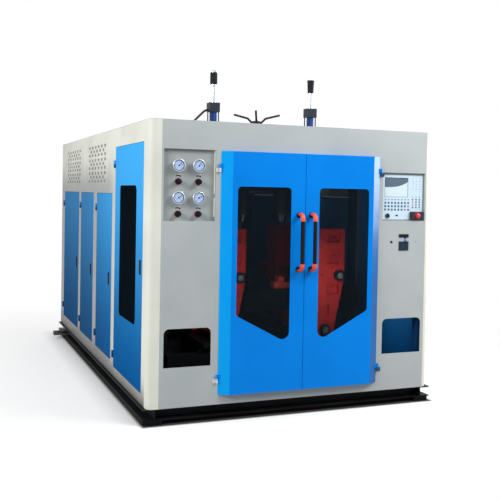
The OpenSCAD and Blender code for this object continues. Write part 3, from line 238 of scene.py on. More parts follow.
def add_box(mesh, low, high, bevel=0.0, index=0):
    """A box between two corners, with its edges rounded off if a bevel is given."""
    low, high = Vector(low), Vector(high)
    place = Matrix.Translation((low + high) / 2) @ Matrix.Diagonal((*(high - low), 1))
    corners = bmesh.ops.create_cube(mesh, size=1, matrix=place)["verts"]
    for face in {face for corner in corners for face in corner.link_faces}:
        face.material_index = index
    if bevel:
        edges = list(dict.fromkeys(edge for corner in corners for edge in corner.link_edges))
        bmesh.ops.bevel(mesh, geom=edges, offset=bevel, segments=2, profile=0.5,
                        affect="EDGES", material=-1)


sides = (("left", -1), ("right", 1))
gauze_zinc = painted_steel("zinc_grey_vent_gauze", "#8F8E88", "#807F7A", 0.5, peel_mm=3)
gauze_in, gauze_out = wall_x - 0.0044, wall_x - 0.0032
gauze_low, gauze_high = 1.738, 2.104
gauze_starts, gauze_long = (-0.438, 0.875), 0.874
for side, sign in sides:
    backing = bmesh.new()
    for start_y in gauze_starts:
        add_box(backing, (sign * gauze_in, start_y, gauze_low),
                (sign * gauze_out, start_y + gauze_long, gauze_high))
    finish_piece(f"{side}_vent_gauze", backing, [gauze_zinc], "machine")


# Hinges: lift-off hinges of turned steel, welded to the columns and doors and painted over. They
# are a dull blue, but for the lower halves at the left front door, whose pale grey is a painted
# highlight.
hinge_paint = painted_steel("blue_hinge_paint", "#2C5C8C", "#24486B", 0.4, peel_mm=4)
hinge_highlight_grey = painted_steel("pale_grey_hinge_painted_highlight", "#D9DCDA", "#C9CDCC", 0.4, peel_mm=4)
column_x = -1.1
proud_y = front_y + 0.001
dress("hinge_pins", hinge_paint, hinge_highlight_grey)
# The pale grey of these lower halves is a painted highlight.
dress_where("hinge_pins", 1, lambda spot, normal: spot.y < proud_y and column_x < spot.x < 0)


# Gauge panel: a folded tray, powder coated in the front's grey. The gauges are bought in: a pressed
# steel rim round a white enamelled dial, with printed black graduations and a needle. A dark blue
# ring inside each rim is painted shade.
def add_disc(mesh, centre, radius, depth, segments=40, index=0):
    """A flat drum with its axis along Y, its back at the centre and its front towards -Y."""
    middle = Matrix.Translation(Vector(centre) + Vector((0, -depth / 2, 0)))
    made = bmesh.ops.create_cone(mesh, cap_ends=True, segments=segments, radius1=radius,
                                 radius2=radius, depth=depth,
                                 matrix=middle @ Matrix.Rotation(math.radians(90), 4, "X"))
    for face in {face for vert in made["verts"] for face in vert.link_faces}:
        face.material_index = index


def add_ring(mesh, centre, inner, outer, height):
    """A flat ring with its back at the centre and its front towards -Y, spun round its axis."""
    centre = Vector(centre)
    profile = [mesh.verts.new(centre + Vector((reach, -lift, 0))) for reach, lift in
               ((inner, 0), (outer, 0), (outer, height * 0.6), (outer - height * 0.4, height),
                (inner + height * 0.4, height), (inner, height * 0.6))]
    edges = [mesh.edges.new((profile[i - 1], profile[i])) for i in range(len(profile))]
    bmesh.ops.spin(mesh, geom=profile + edges, cent=centre, axis=(0, 1, 0), dvec=(0, 0, 0),
                   angle=math.tau, steps=48, use_merge=True, use_duplicate=False)


def add_stroke(mesh, centre, degrees, reach, long, deep, wide):
    """A thin bar, as a printed stroke is, some way out from a centre and turned round Y."""
    place = (Matrix.Translation(centre) @ Matrix.Rotation(-math.radians(degrees), 4, "Y")
             @ Matrix.Translation((reach, 0, 0)) @ Matrix.Diagonal((long, deep, wide, 1)))
    bmesh.ops.create_cube(mesh, size=1, matrix=place)


def add_number(mesh, text, centre, height, depth=0.0003):
    """A plain printed number that faces -Y, made from Blender's own letter shapes."""
    size_per_height = 1.35
    curve = bpy.data.curves.new("number", "FONT")
    curve.body = text
    curve.size = height * size_per_height
    curve.align_x = "CENTER"
    curve.align_y = "CENTER"
    curve.extrude = depth / 2
    carrier = bpy.data.objects.new("number", curve)
    shape = bpy.data.meshes.new_from_object(carrier)
    shape.transform(Matrix.Translation(centre) @ Matrix.Rotation(math.radians(90), 4, "X"))
    mesh.from_mesh(shape)
    bpy.data.objects.remove(carrier)
    bpy.data.meshes.remove(shape)


def turned_steel(name, colour, roughness, line_mm=6):
    """Bare steel, turned or drawn. Its tool lines are streaks of roughness, drawn coarse."""
    material, tree, shader = new_material(
        name, Metallic=1.0, Roughness=roughness, Base_Color=srgb(colour))
    place = add(tree, "ShaderNodeTexCoord").outputs["Object"]
    stretch = add(tree, "ShaderNodeMapping", links={"Vector": place, "Scale": (1, 1, 0.06)})
    lines = add(tree, "ShaderNodeTexNoise", links={
        "Vector": stretch.outputs["Vector"], "Scale": 1000 / line_mm})
    shine = add(tree, "ShaderNodeMapRange", links={
        "Value": lines.outputs["Fac"], "To Min": max(0.03, roughness - 0.08),
        "To Max": roughness + 0.1})
    tree.links.new(shine.outputs["Result"], shader.inputs["Roughness"])
    return material


def moulded(name, tones, roughness, grain_mm, relief=0.0, relief_depth=0.0003, **sockets):
    """A moulded or enamelled surface of one tone, or two that cloud, with a grain if it has relief.

    Real moulding grain is under 0.5 mm. It is drawn coarser, so that it shows at this distance.
    """
    material, tree, shader = new_material(name, Roughness=roughness, **sockets)
    place = add(tree, "ShaderNodeTexCoord").outputs["Object"]
    grain = add(tree, "ShaderNodeTexNoise", links={"Vector": place, "Scale": 1000 / grain_mm})
    if len(tones) == 2:
        tone = add(tree, "ShaderNodeMix", {"data_type": "RGBA"}, {
            "Factor": grain.outputs["Fac"], mix_low: srgb(tones[0]), mix_high: srgb(tones[1])})
        tree.links.new(tone.outputs[mix_out], shader.inputs["Base Color"])
    else:
        shader.inputs["Base Color"].default_value = srgb(tones[0])
    if relief:
        bump = add(tree, "ShaderNodeBump", links={
            "Height": grain.outputs["Fac"], "Strength": relief, "Distance": relief_depth})
        tree.links.new(bump.outputs["Normal"], shader.inputs["Normal"])
    return material


def printed_ink(name, colour, roughness=0.4, film_mm=3.3):
    """Screen-printed ink: an opaque film whose slight unevenness shows in its sheen alone."""
    material, tree, shader = new_material(
        name, Roughness=roughness, Base_Color=srgb(colour), Specular_IOR_Level=0.1)
    place = add(tree, "ShaderNodeTexCoord").outputs["Object"]
    film = add(tree, "ShaderNodeTexNoise", links={"Vector": place, "Scale": 1000 / film_mm})
    sheen = add(tree, "ShaderNodeMapRange", links={
        "Value": film.outputs["Fac"], "To Min": roughness - 0.1, "To Max": roughness + 0.1})
    tree.links.new(sheen.outputs["Result"], shader.inputs["Roughness"])
    return material


# The rims are bright but brushed, and the white enamel carries a painted cool tint of the daylight
# on it.
gauge_grey = painted_steel("gauge_tray_powder_coat", "#A6ADAE", "#9CA3A4", 0.42, peel_mm=6,
                           waviness=0.06)
rim_steel = turned_steel("bright_gauge_rim_steel", "#C9CED2", 0.3)
dial_enamel_cool_tint = moulded("white_dial_enamel_painted_cool_tint", ("#B4CBF0", "#A9C3EC"), 0.3, grain_mm=16.7)
black_ink = printed_ink("black_dial_ink", "#14181F", 0.5)
# A dark blue ring inside each rim is painted shade.
rim_shade_blue = moulded("blue_rim_painted_shade", ("#22365C",), 0.5, grain_mm=3.3, relief=0.05,
                      Specular_IOR_Level=0.1)
dress("gauge_panel", gauge_grey)
dress("pressure_gauges", rim_steel)

# Each gauge sits over its regulator, whose knob gives its place across and up.
regulator_drop = 0.117
gauge_spots = []
for number in range(1, 5):
    knob_low, knob_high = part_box(f"regulator_knob_{number}")
    gauge_spots.append(((knob_low.x + knob_high.x) / 2,
                        (knob_low.z + knob_high.z) / 2 + regulator_drop))
dial_radius = 0.0385
dial_y = front_y - 0.0003
dial_sunk = 0.0002
dial_depth = 0.0012
face_y = dial_y - dial_sunk - dial_depth
print_y = face_y - 0.0002
print_depth = 0.0004
rim_shade_inner, rim_shade_depth = 0.0347, 0.0016
scale_start = 225
mark_count, mark_step, marks_per_long = 31, 9, 5
mark_outer, short_inner, long_inner = dial_radius * 0.92, dial_radius * 0.85, dial_radius * 0.78
short_wide, long_wide = 0.0009, 0.0014
number_labels = ("0", "2", "4", "6", "8", "10")
number_step, number_high = 54, 0.0062
number_ring = dial_radius * 0.6
needle_turns = (38, 30, 42, 52)
needle_y = face_y - 0.002
needle_out, needle_long, needle_depth, needle_wide = 0.010, 0.036, 0.0006, 0.0030
hub_y = face_y - 0.0012
hub_radius, hub_depth = 0.0048, 0.0016
dial = bmesh.new()
marks = bmesh.new()
rim_shades = bmesh.new()
for (x, z), needle_turn in zip(gauge_spots, needle_turns):
    add_disc(dial, (x, dial_y - dial_sunk, z), dial_radius - 0.0003, dial_depth)
    for step in range(mark_count):
        is_long = step % marks_per_long == 0
        mark_inner = long_inner if is_long else short_inner
        add_stroke(marks, (x, print_y, z), scale_start - mark_step * step,
                   (mark_inner + mark_outer) / 2, mark_outer - mark_inner, print_depth,
                   long_wide if is_long else short_wide)
    for index, label in enumerate(number_labels):
        angle = math.radians(scale_start - number_step * index)
        spot = Vector((x + math.cos(angle) * number_ring, print_y,
                       z + math.sin(angle) * number_ring))
        add_number(marks, label, spot, number_high)
    add_stroke(marks, (x, needle_y, z), needle_turn,
               needle_out, needle_long, needle_depth, needle_wide)
    add_disc(marks, (x, hub_y, z), hub_radius, hub_depth, segments=20)
    add_ring(rim_shades, (x, dial_y, z), rim_shade_inner, dial_radius, rim_shade_depth)
finish_piece("gauge_rim_painted_shade", rim_shades, [rim_shade_blue], "machine")
finish_piece("gauge_dials", dial, [dial_enamel_cool_tint], "machine")
finish_piece("gauge_marks_and_needles", marks, [black_ink], "machine")


# Regulators: a ribbed knob of black acetal, whose grain breaks up its shine, on an anodised red
# ring screwed through the tray. An arc with an arrowhead is printed over each knob, and a pale
# strip on the recess's side is a painted highlight of its lit wall.
red_ring = painted_steel("red_anodised_ring", "#7E2130", "#6E1C28", 0.35, peel_mm=4)
knob_plastic = moulded("black_ribbed_acetal", ("#0B0C0E",), 0.42, grain_mm=1.1, relief=0.2,
                       Specular_IOR_Level=0.15)
recess_highlight_pale = painted_steel("pale_recess_painted_highlight", "#F2F1E4", "#E6E5D6", 0.4, peel_mm=5,
                            waviness=0.03)
dress("regulator_bodies", red_ring)
for number in range(1, 5):
    dress(f"regulator_knob_{number}", knob_plastic)

tray_y = front_y + 0.024
arrow_y = tray_y - 0.0004
arrow_rise = 0.013
arrow_radius = 0.031
arc_start, arc_step, arc_pieces = 116, 7, 8
arc_wide, arc_depth, arc_long = 0.0072, 0.0006, 0.0046
tip_angle, tip_turn, tip_radius = 58, -62, 0.0085
arrows = bmesh.new()
for x, z in gauge_spots:
    centre = Vector((x, arrow_y, z - regulator_drop + arrow_rise))
    for step in range(arc_pieces):
        add_stroke(arrows, centre, arc_start - arc_step * step, arrow_radius,
                   arc_wide, arc_depth, arc_long)
    tip = centre + Matrix.Rotation(-math.radians(tip_angle), 3, "Y") @ Vector((arrow_radius, 0, 0))
    head = (Matrix.Translation(tip) @ Matrix.Rotation(math.radians(90), 4, "X")
            @ Matrix.Rotation(math.radians(tip_turn), 4, "Z"))
    bmesh.ops.create_cone(arrows, cap_ends=True, segments=3, radius1=tip_radius,
                          radius2=tip_radius, depth=arc_depth, matrix=head)
finish_piece("regulator_arrows", arrows, [black_ink], "machine")

# The pale strip on the recess's side is a painted highlight.
tray_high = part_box("gauge_panel")[1]
highlight_x = tray_high.x - 0.016
highlight_wide = 0.0025
highlight_spans = ((1.668, tray_high.z - 0.004), (1.500, 1.640))
highlight_strips = bmesh.new()
for low_z, high_z in highlight_spans:
    add_box(highlight_strips, (highlight_x, front_y + 0.003, low_z),
            (highlight_x + highlight_wide, tray_y - 0.001, high_z), bevel=0.0004)
finish_piece("gauge_recess_painted_highlight", highlight_strips, [recess_highlight_pale], "machine")


# Control panel: a satin foil of pale blue polyester, glued to an aluminium plate, with printed keys
# over raised domes. The plate carries a screen window, a key switch of satin steel and a matt
# charcoal housing for the emergency stop.
foil = moulded("pale_blue_keyboard_foil", ("#CFE4F2", "#C6DDEE"), 0.35, grain_mm=2, relief=0.1)
housing_charcoal = painted_steel("charcoal_moulded_housing", "#3A3F47", "#31353B", 0.5, peel_mm=5)
switch_steel = turned_steel("satin_key_switch_steel", "#8B9096", 0.35)
panel_low, panel_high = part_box("control_panel")
plate_y = front_y + 0.018
foil_inset = 0.019
foil_back = front_y + 0.0235
foil_top = panel_high.z - 0.026
housing_left = panel_high.x - 0.1385
housing_top = panel_low.z + 0.0845
switch_x = panel_low.x + 0.064
switch_z = panel_low.z + 0.049
switch_ring, switch_barrel = 0.0195, 0.012


def from_switch(spot):
    """How far a spot of the panel is from the key switch's axis."""
    return math.hypot(spot.x - switch_x, spot.z - switch_z)


dress("control_panel", sheet_grey, foil, housing_charcoal, switch_steel)
dress_where("control_panel", 1, lambda spot, normal: spot.y < foil_back
            and panel_low.x + foil_inset < spot.x < panel_high.x - foil_inset
            and panel_low.z + foil_inset < spot.z < foil_top)
dress_where("control_panel", 2, lambda spot, normal: spot.x > housing_left
            and spot.z < housing_top and spot.y < plate_y - 0.001)
dress_where("control_panel", 2, lambda spot, normal: from_switch(spot) < switch_ring
            and spot.y < plate_y - 0.0005)
dress_where("control_panel", 3, lambda spot, normal: from_switch(spot) < switch_barrel
            and spot.y > plate_y - 0.0015 and normal.y < -0.9)

# The screen is pale, with a painted slate reflection over its upper part, parted by a curve that
# climbs to the right.
screen_glass, screen_tree, screen_shader = new_material("screen_window_painted_reflection", Roughness=0.12)
screen_low, screen_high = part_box("control_screen")
curve_z, curve_blur, curve_bend, curve_lift = 1.746, 0.005, 3.0, 4.6
screen_place = add(screen_tree, "ShaderNodeTexCoord").outputs["Object"]
screen_split = add(screen_tree, "ShaderNodeSeparateXYZ", links={"Vector": screen_place})
screen_across = add(screen_tree, "ShaderNodeMath", {"operation": "SUBTRACT"}, {
    0: screen_split.outputs["X"], 1: screen_low.x})
screen_bend = add(screen_tree, "ShaderNodeMath", {"operation": "POWER"}, {
    0: screen_across.outputs["Value"], 1: curve_bend})
screen_curve = add(screen_tree, "ShaderNodeMath", {"operation": "MULTIPLY"}, {
    0: screen_bend.outputs["Value"], 1: curve_lift})
screen_level = add(screen_tree, "ShaderNodeMath", {"operation": "SUBTRACT"}, {
    0: screen_split.outputs["Z"], 1: screen_curve.outputs["Value"]})
screen_reflection_mask = add(screen_tree, "ShaderNodeMapRange", links={
    "Value": screen_level.outputs["Value"], "From Min": curve_z,
    "From Max": curve_z + curve_blur})
screen_painted_reflection = add(screen_tree, "ShaderNodeMix", {"data_type": "RGBA"}, {
    "Factor": screen_reflection_mask.outputs["Result"], mix_low: srgb("#D3E5EC"), mix_high: srgb("#53687B")})
screen_tree.links.new(screen_painted_reflection.outputs[mix_out], screen_shader.inputs["Base Color"])
dress("control_screen", screen_glass)

# Flat, dull inks: most keys are slate or faint, two are lilac and two pink.
key_inks = [printed_ink("slate_key_print", "#566A80"), printed_ink("pink_key_print", "#E7707E"),
            printed_ink("lilac_key_print", "#A78FB4"), printed_ink("faint_key_print", "#8FA3B3")]
slate, pink, lilac, faint = range(4)
dark_ink = printed_ink("dark_panel_print", "#2F3A48")
key_y = plate_y - 0.001
film = 0.0006
film_edge = 0.0002
key_x, key_z = screen_low.x + 0.0057, screen_low.z - 0.0223
key_across, key_down = 0.03064, 0.027
side_x, side_z = screen_high.x + 0.0475, screen_high.z - 0.0047
side_across, side_down = 0.032, 0.021
side_rows = (0, 1, 2, 3, 4, 7, 8, 9, 10, 11)
lilac_keys = ((7, 2), (6, 3))
pink_keys = ((0, 9), (0, 10))
prints = bmesh.new()


def print_key(x, z, half_wide, half_high, ink):
    """A thin printed square on a key's face."""
    add_box(prints, (x - half_wide, key_y - film, z - half_high),
            (x + half_wide, key_y, z + half_high), film_edge, ink)


for column in range(8):
    for row in range(4):
        x = key_x + column * key_across
        z = key_z - row * key_down
        if row == 0:
            print_key(x, z, 0.0075, 0.0045, faint)
        else:
            print_key(x, z, 0.0080, 0.0078, lilac if (column, row) in lilac_keys else slate)
for column in range(3):
    for row in side_rows:
        x = side_x + column * side_across
        z = side_z - row * side_down
        half = 0.0062 if row > 7 else 0.0034
        ink = pink if (column, row) in pink_keys else faint if row < 7 else slate
        print_key(x, z, half, half, ink)
finish_piece("key_prints", prints, key_inks, "machine")

frame_edge = 0.0022
frame_y = plate_y - film
trim = bmesh.new()
for low_z in (screen_high.z, screen_low.z - frame_edge):
    add_box(trim, (screen_low.x - frame_edge, frame_y, low_z),
            (screen_high.x + frame_edge, plate_y, low_z + frame_edge), film_edge)
for low_x in (screen_low.x - frame_edge, screen_high.x):
    add_box(trim, (low_x, frame_y, screen_low.z),
            (low_x + frame_edge, plate_y, screen_high.z), film_edge)
slot_half_wide, slot_half_high = 0.0015, 0.0065
add_box(trim, (switch_x + 0.075, plate_y - 0.0015, switch_z - 0.002),
        (switch_x + 0.098, plate_y, switch_z + 0.009), film_edge)
add_box(trim, (switch_x - slot_half_wide, plate_y - 0.0022, switch_z - slot_half_high),
        (switch_x + slot_half_wide, plate_y - 0.0008, switch_z + slot_half_high), film_edge)
finish_piece("screen_frame_and_port", trim, [dark_ink], "machine")


# Emergency stop: a mushroom button of glossy red moulding, pressed into the housing, with a dull
# red collar clipped round it.
red_button = moulded("glossy_red_button", ("#D42A32", "#BE222A"), 0.25, grain_mm=11.1,
                     Coat_Weight=0.4)
collar_red = painted_steel("dull_red_collar", "#A8434A", "#96393F", 0.45, peel_mm=4)
button_low, button_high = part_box("emergency_button")
dress("emergency_button", red_button)
collar_inner, collar_outer, collar_height = 0.0212, 0.0290, 0.0024
collar = bmesh.new()
add_ring(collar, ((button_low.x + button_high.x) / 2, panel_low.y - 0.0001,
                  (button_low.z + button_high.z) / 2), collar_inner, collar_outer, collar_height)
finish_piece("emergency_button_collar", collar, [collar_red], "machine")


# Main breaker: a moulded slate case set through the front sheet, with a black strip on top and a
# pale one behind its grey toggle. A plug and a screw sit in the sheet at its sides.
breaker_slate = painted_steel("slate_moulded_breaker", "#253343", "#1F2A37", 0.4, peel_mm=5)
breaker_black = painted_steel("black_moulded_breaker", "#1B1D20", "#232529", 0.45, peel_mm=5)
breaker_pale = painted_steel("pale_breaker_strip", "#A9B7C6", "#9CABBB", 0.45, peel_mm=5)
toggle_grey = painted_steel("grey_toggle_moulding", "#7F8C99", "#74818D", 0.4, peel_mm=5)
breaker_low, breaker_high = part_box("main_breaker")
black_strip_z = breaker_high.z - 0.0385
pale_strip_z = breaker_high.z - 0.0705
plug_x, plug_radius, plug_depth = breaker_low.x - 0.0578, 0.0095, 0.0025
screw_x, screw_radius, screw_depth = breaker_high.x + 0.0568, 0.0042, 0.002
stud_z = breaker_low.z + 0.080
dress("main_breaker", breaker_slate, breaker_black, breaker_pale)
dress_where("main_breaker", 1, lambda spot, normal: spot.z > black_strip_z)
dress_where("main_breaker", 2, lambda spot, normal: pale_strip_z < spot.z <= black_strip_z
            and spot.y > front_y - 0.0025)
dress("breaker_toggle", toggle_grey)
studs = bmesh.new()
add_disc(studs, (plug_x, front_y, stud_z), plug_radius, plug_depth, segments=24)
add_disc(studs, (screw_x, front_y, stud_z), screw_radius, screw_depth, segments=16, index=1)
finish_piece("front_plug_and_screw", studs, [black_ink, switch_steel], "machine")


# Bed, carriages and clamps: a bed of dark box section, welded, with the clamps' iron castings
# bolted on it. The castings are sprayed red over rough foundry skin, which blurs their shine. The
# tie bars are ground and chromed and held by blackened nuts.
bed_paint = painted_steel("dark_bed_paint", "#0C0E10", "#15181B", 0.5, peel_mm=8, gloss=0.05)
casting_red = painted_steel("red_casting_enamel", "#D03634", "#AE2826", 0.38, peel_mm=14,
                            waviness=0.12, coat=0.2)
# The bracket's brighter red is painted light, a lit copy of the castings' red.
bracket_lit_red = painted_steel("red_bracket_enamel_painted_light", "#FF6048", "#FF5238", 0.38, peel_mm=10)
bar_steel = turned_steel("ground_tie_bar_chrome", "#B9BEC4", 0.16)
bar_end = painted_steel("dull_faced_bar_end", "#757C82", "#646A70", 0.5, peel_mm=4)
nut_black = turned_steel("blackened_nut_steel", "#3A3D41", 0.42)
bracket_front, bracket_z = front_y + 0.7, 0.8605
bracket_left, bracket_right = 0.125, 0.29
dress("machine_bed", bed_paint, bracket_lit_red)
dress_where("machine_bed", 1, lambda spot, normal: spot.z > bracket_z
            and bracket_left < spot.x < bracket_right and spot.y > bracket_front)

# A station's three tie bars lie either side of its axis above, and on it below.
rod_low, rod_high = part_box("right_blow_rod")
station_x = (rod_low.x + rod_high.x) / 2
tie_bars = ((-0.124, 1.0), (0.124, 1.0), (0.0, 0.55))
nut_reach = 0.0446
bar_reach = 0.0256
front_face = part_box("right_front_platen")[0].y
head_front = front_face + 0.780
head_back = front_face + 0.850
nut_back = head_back + 0.0295


def near_bar(spot, sign, reach):
    """True within that distance of the axis of any of a station's tie bars."""
    return any(math.hypot(spot.x - sign * station_x - out, spot.z - high) < reach
               for out, high in tie_bars)


for side, sign in sides:
    dress(f"{side}_carriage", bed_paint)
    dress(f"{side}_front_platen", casting_red)
    dress(f"{side}_moving_platen", casting_red)
    node = f"{side}_tie_bars"
    dress(node, casting_red, bar_steel, nut_black, bar_end)
    dress_where(node, 2, lambda spot, normal: near_bar(spot, sign, nut_reach)
                and (spot.y < front_face or spot.y > head_back - 0.0001))
    dress_where(node, 3, lambda spot, normal: near_bar(spot, sign, bar_reach)
                and spot.y < front_face)
    dress_where(node, 1, lambda spot, normal: near_bar(spot, sign, bar_reach)
                and (front_face < spot.y < head_front + 0.0001 or spot.y > nut_back))


# Die head, extruder and drive: a machined steel manifold bolted over two dies, and a barrel clamped
# in ceramic heater bands with bright shells. The gearbox is cast, in a soft machine blue-grey.
die_steel = turned_steel("machined_die_steel", "#5A5D61", 0.34)
band_steel = turned_steel("bright_heater_band_shell", "#A7A9AB", 0.3)
drive_paint = painted_steel("blue_grey_gearbox_paint", "#4B5C6E", "#3F4E5E", 0.45, peel_mm=8)
dress("die_head", die_steel)
dress("extruder_barrel", band_steel)
dress("extruder_drive", drive_paint)


# Blow cylinders: a blue anodised barrel between cast charcoal blocks, held by blackened tie rods at
# the corners. The chromed rod mirrors the room and ends in a knurled black grip over the roof.
barrel_blue = painted_steel("blue_anodised_barrel", "#25438C", "#1F3871", 0.3, peel_mm=4,
                            waviness=0.04, coat=0.3)
block_charcoal = painted_steel("charcoal_cylinder_block", "#2F363F", "#262B33", 0.42, peel_mm=6)
rod_chrome = turned_steel("chromed_rod", "#C8D3DA", 0.12)
grip_black = painted_steel("black_knurled_grip", "#202226", "#191B1E", 0.45, peel_mm=4)
cylinder_low, cylinder_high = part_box("right_blow_cylinder")
barrel_low = cylinder_low.z + 0.077
barrel_high = cylinder_high.z - 0.0765
barrel_reach = 0.034
axis_y = (rod_low.y + rod_high.y) / 2
left_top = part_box("left_blow_rod")[1].z
grip_spans = {"left": (left_top - 0.119, left_top - 0.0175),
              "right": (rod_high.z - 0.1125, rod_high.z)}
for side, sign in sides:
    dress(f"{side}_blow_cylinder", block_charcoal, barrel_blue)
    dress_where(f"{side}_blow_cylinder", 1, lambda spot, normal: barrel_low < spot.z < barrel_high
                and math.hypot(spot.x - sign * station_x, spot.y - axis_y) < barrel_reach)
    grip_low, grip_high = grip_spans[side]
    dress(f"{side}_blow_rod", rod_chrome, grip_black)
    dress_where(f"{side}_blow_rod", 1, lambda spot, normal: grip_low < spot.z <= grip_high)


# Hose and adjusting handle: an extruded black rubber air line, pushed onto its fitting, smooth with
# a soft sheen. The handle is forged, blackened and screwed onto the stem that sets the dies' gap.
hose_rubber = moulded("black_air_hose_rubber", ("#1C1D20",), 0.55, grain_mm=2.5, relief=0.25,
                      relief_depth=0.0004)
handle_iron = painted_steel("blackened_forged_handle", "#26282B", "#34332F", 0.5, peel_mm=5)
dress("air_hose", hose_rubber)
dress("adjusting_handle", handle_iron)


# Front doors: folded sheet pans in a glossy blue enamel, hung on lift-off hinges. Their slanted
# outer edges are painted paler: the left one with a painted highlight, the right one with a painted
# reflection of the sky that is palest towards its top. Panes of dark tinted glass sit in rubber
# seals behind the cut-outs.
def door_enamel(name, colour, worn):
    """Baked enamel on a door pan: a clear, wet-looking blue with a thin coat of gloss."""
    return painted_steel(name, colour, worn, 0.3, peel_mm=5, waviness=0.06, coat=0.4, gloss=0.04)


dust_cloud_mm = 167


def tinted_glass(name, gloss, cover):
    """Dark tinted glass with a thin, uneven film of dust on it."""
    material, tree, shader = new_material(
        name, Roughness=0.04, Alpha=cover, Specular_IOR_Level=gloss)
    place = add(tree, "ShaderNodeTexCoord").outputs["Object"]
    film = add(tree, "ShaderNodeTexNoise", links={
        "Vector": place, "Scale": 1000 / dust_cloud_mm, "Detail": 4.0})
    haze = add(tree, "ShaderNodeMapRange", links={
        "Value": film.outputs["Fac"], "To Min": 0.02, "To Max": 0.08})
    tint = add(tree, "ShaderNodeMix", {"data_type": "RGBA"}, {
        "Factor": film.outputs["Fac"], mix_low: srgb("#091117"), mix_high: srgb("#11191F")})
    tree.links.new(haze.outputs["Result"], shader.inputs["Roughness"])
    tree.links.new(tint.outputs[mix_out], shader.inputs["Base Color"])
    return material


door_blue = door_enamel("glossy_blue_door_enamel", "#0085EA", "#007EDF")
# The left edge's paler blue is a painted highlight.
edge_highlight_blue = door_enamel("blue_edge_enamel_painted_highlight", "#04AAFF", "#03A4FF")
# The right edge's dull blue, paling towards its top, is a painted reflection of the sky.
edge_reflection_blue = door_enamel("blue_edge_enamel_painted_reflection", "#2B68AC", "#28609F")
edge_reflection_low, edge_reflection_high = 1.1, 2.0
lay_over(edge_reflection_blue, climb(edge_reflection_blue, "Z", edge_reflection_low, edge_reflection_high), srgb("#A8C4EC"))
front_glass = tinted_glass("dark_tinted_front_glass", 0.03, 0.65)
slant = 0.3
for (side, sign), edge_painted_light in zip(sides, (edge_highlight_blue, edge_reflection_blue)):
    dress(f"front_{side}_window", front_glass)
    dress(f"front_{side}_door", door_blue, edge_painted_light)
    dress_where(f"front_{side}_door", 1,
                lambda spot, normal: sign * normal.x > slant and normal.y < -slant)


# Door handles: bent tubes, powder coated black, on round feet screwed to the doors. A curved cover
# of plain orange moulding clips over the outer side of each bend, from the foot to the upright.
tube_black = painted_steel("black_powder_coated_tube", "#17191C", "#212327", 0.35, peel_mm=4)
cap_orange = moulded("orange_moulded_bend_cover", ("#F55A3A", "#E65233"), 0.4, grain_mm=14.3)
cover_radius = 0.0155
cover_wall = 0.003
bend_radius = 0.036
stub = 0.022
upright = 0.010
parting_x = 0.025
handle_out = 0.052
door_depth = 0.045
bend_out = 0.034
bend_y = front_y - door_depth - bend_out
bend_feet = ((1.108, 1), (1.521, -1))


def kind_of(geometry, kind):
    """The vertices or the edges among what an operator made."""
    return [item for item in geometry if isinstance(item, kind)]


for side, sign in sides:
    dress(f"front_{side}_handle", tube_black)
    handle_x = parting_x + sign * handle_out
    covers = bmesh.new()
    for foot_z, way in bend_feet:
        place = (Matrix.Translation((handle_x, bend_y + stub, foot_z))
                 @ Matrix.Rotation(math.radians(90), 4, "X"))
        ring = bmesh.ops.create_circle(
            covers, segments=32, radius=cover_radius, matrix=place)["verts"]
        inner = [vert for vert in ring if way * (vert.co.z - foot_z) > 0.001]
        bmesh.ops.delete(covers, geom=inner, context="VERTS")
        rim = [vert for vert in ring if vert.is_valid]
        edges = list(dict.fromkeys(edge for vert in rim for edge in vert.link_edges))
        made = bmesh.ops.extrude_edge_only(covers, edges=edges)["geom"]
        last = kind_of(made, bmesh.types.BMVert)
        bmesh.ops.translate(covers, vec=(0, -stub, 0), verts=last)
        turned = bmesh.ops.spin(
            covers, geom=last + kind_of(made, bmesh.types.BMEdge),
            cent=(handle_x, bend_y, foot_z + way * bend_radius), axis=(1, 0, 0), dvec=(0, 0, 0),
            angle=-way * math.radians(90), steps=10, use_merge=False,
            use_duplicate=False)["geom_last"]
        made = bmesh.ops.extrude_edge_only(
            covers, edges=kind_of(turned, bmesh.types.BMEdge))["geom"]
        bmesh.ops.translate(covers, vec=(0, 0, way * upright),
                            verts=kind_of(made, bmesh.types.BMVert))
    bmesh.ops.recalc_face_normals(covers, faces=covers.faces)
    bmesh.ops.solidify(covers, geom=list(covers.faces), thickness=-cover_wall)
    cover = finish_piece(f"front_{side}_handle_covers", covers, [cap_orange],
                         f"front_{side}_leaf")
    soften = cover.modifiers.new("soft_edges", "BEVEL")
    soften.width = 0.0008
    soften.segments = 2
    soften.limit_method = "ANGLE"


# Side doors: flush sheet pans in the same blue enamel, with no gloss on top. Painted light colours
# it: painted shade deepens it low down, a painted highlight pales it higher up, and a painted
# reflection greys it to the rear. The tall ones have a tinted pane, and each door has a flush
# paddle handle, moulded in black and clipped in near its free edge.
side_blue = painted_steel("satin_blue_side_enamel_painted_light", "#1E80CE", "#1976BF", 0.3, peel_mm=5,
                          waviness=0.08, gloss=0.0)
side_glass = tinted_glass("dark_tinted_side_glass", 0.0, 0.8)
paddle_black = painted_steel("black_paddle_moulding", "#1D1F22", "#28292C", 0.45, peel_mm=4)
painted_light_low, painted_light_high = 0.1, 2.0
painted_reflection_front, painted_reflection_rear = -1.25, 0.65
painted_light_share = 0.82
side_tree = side_blue.node_tree
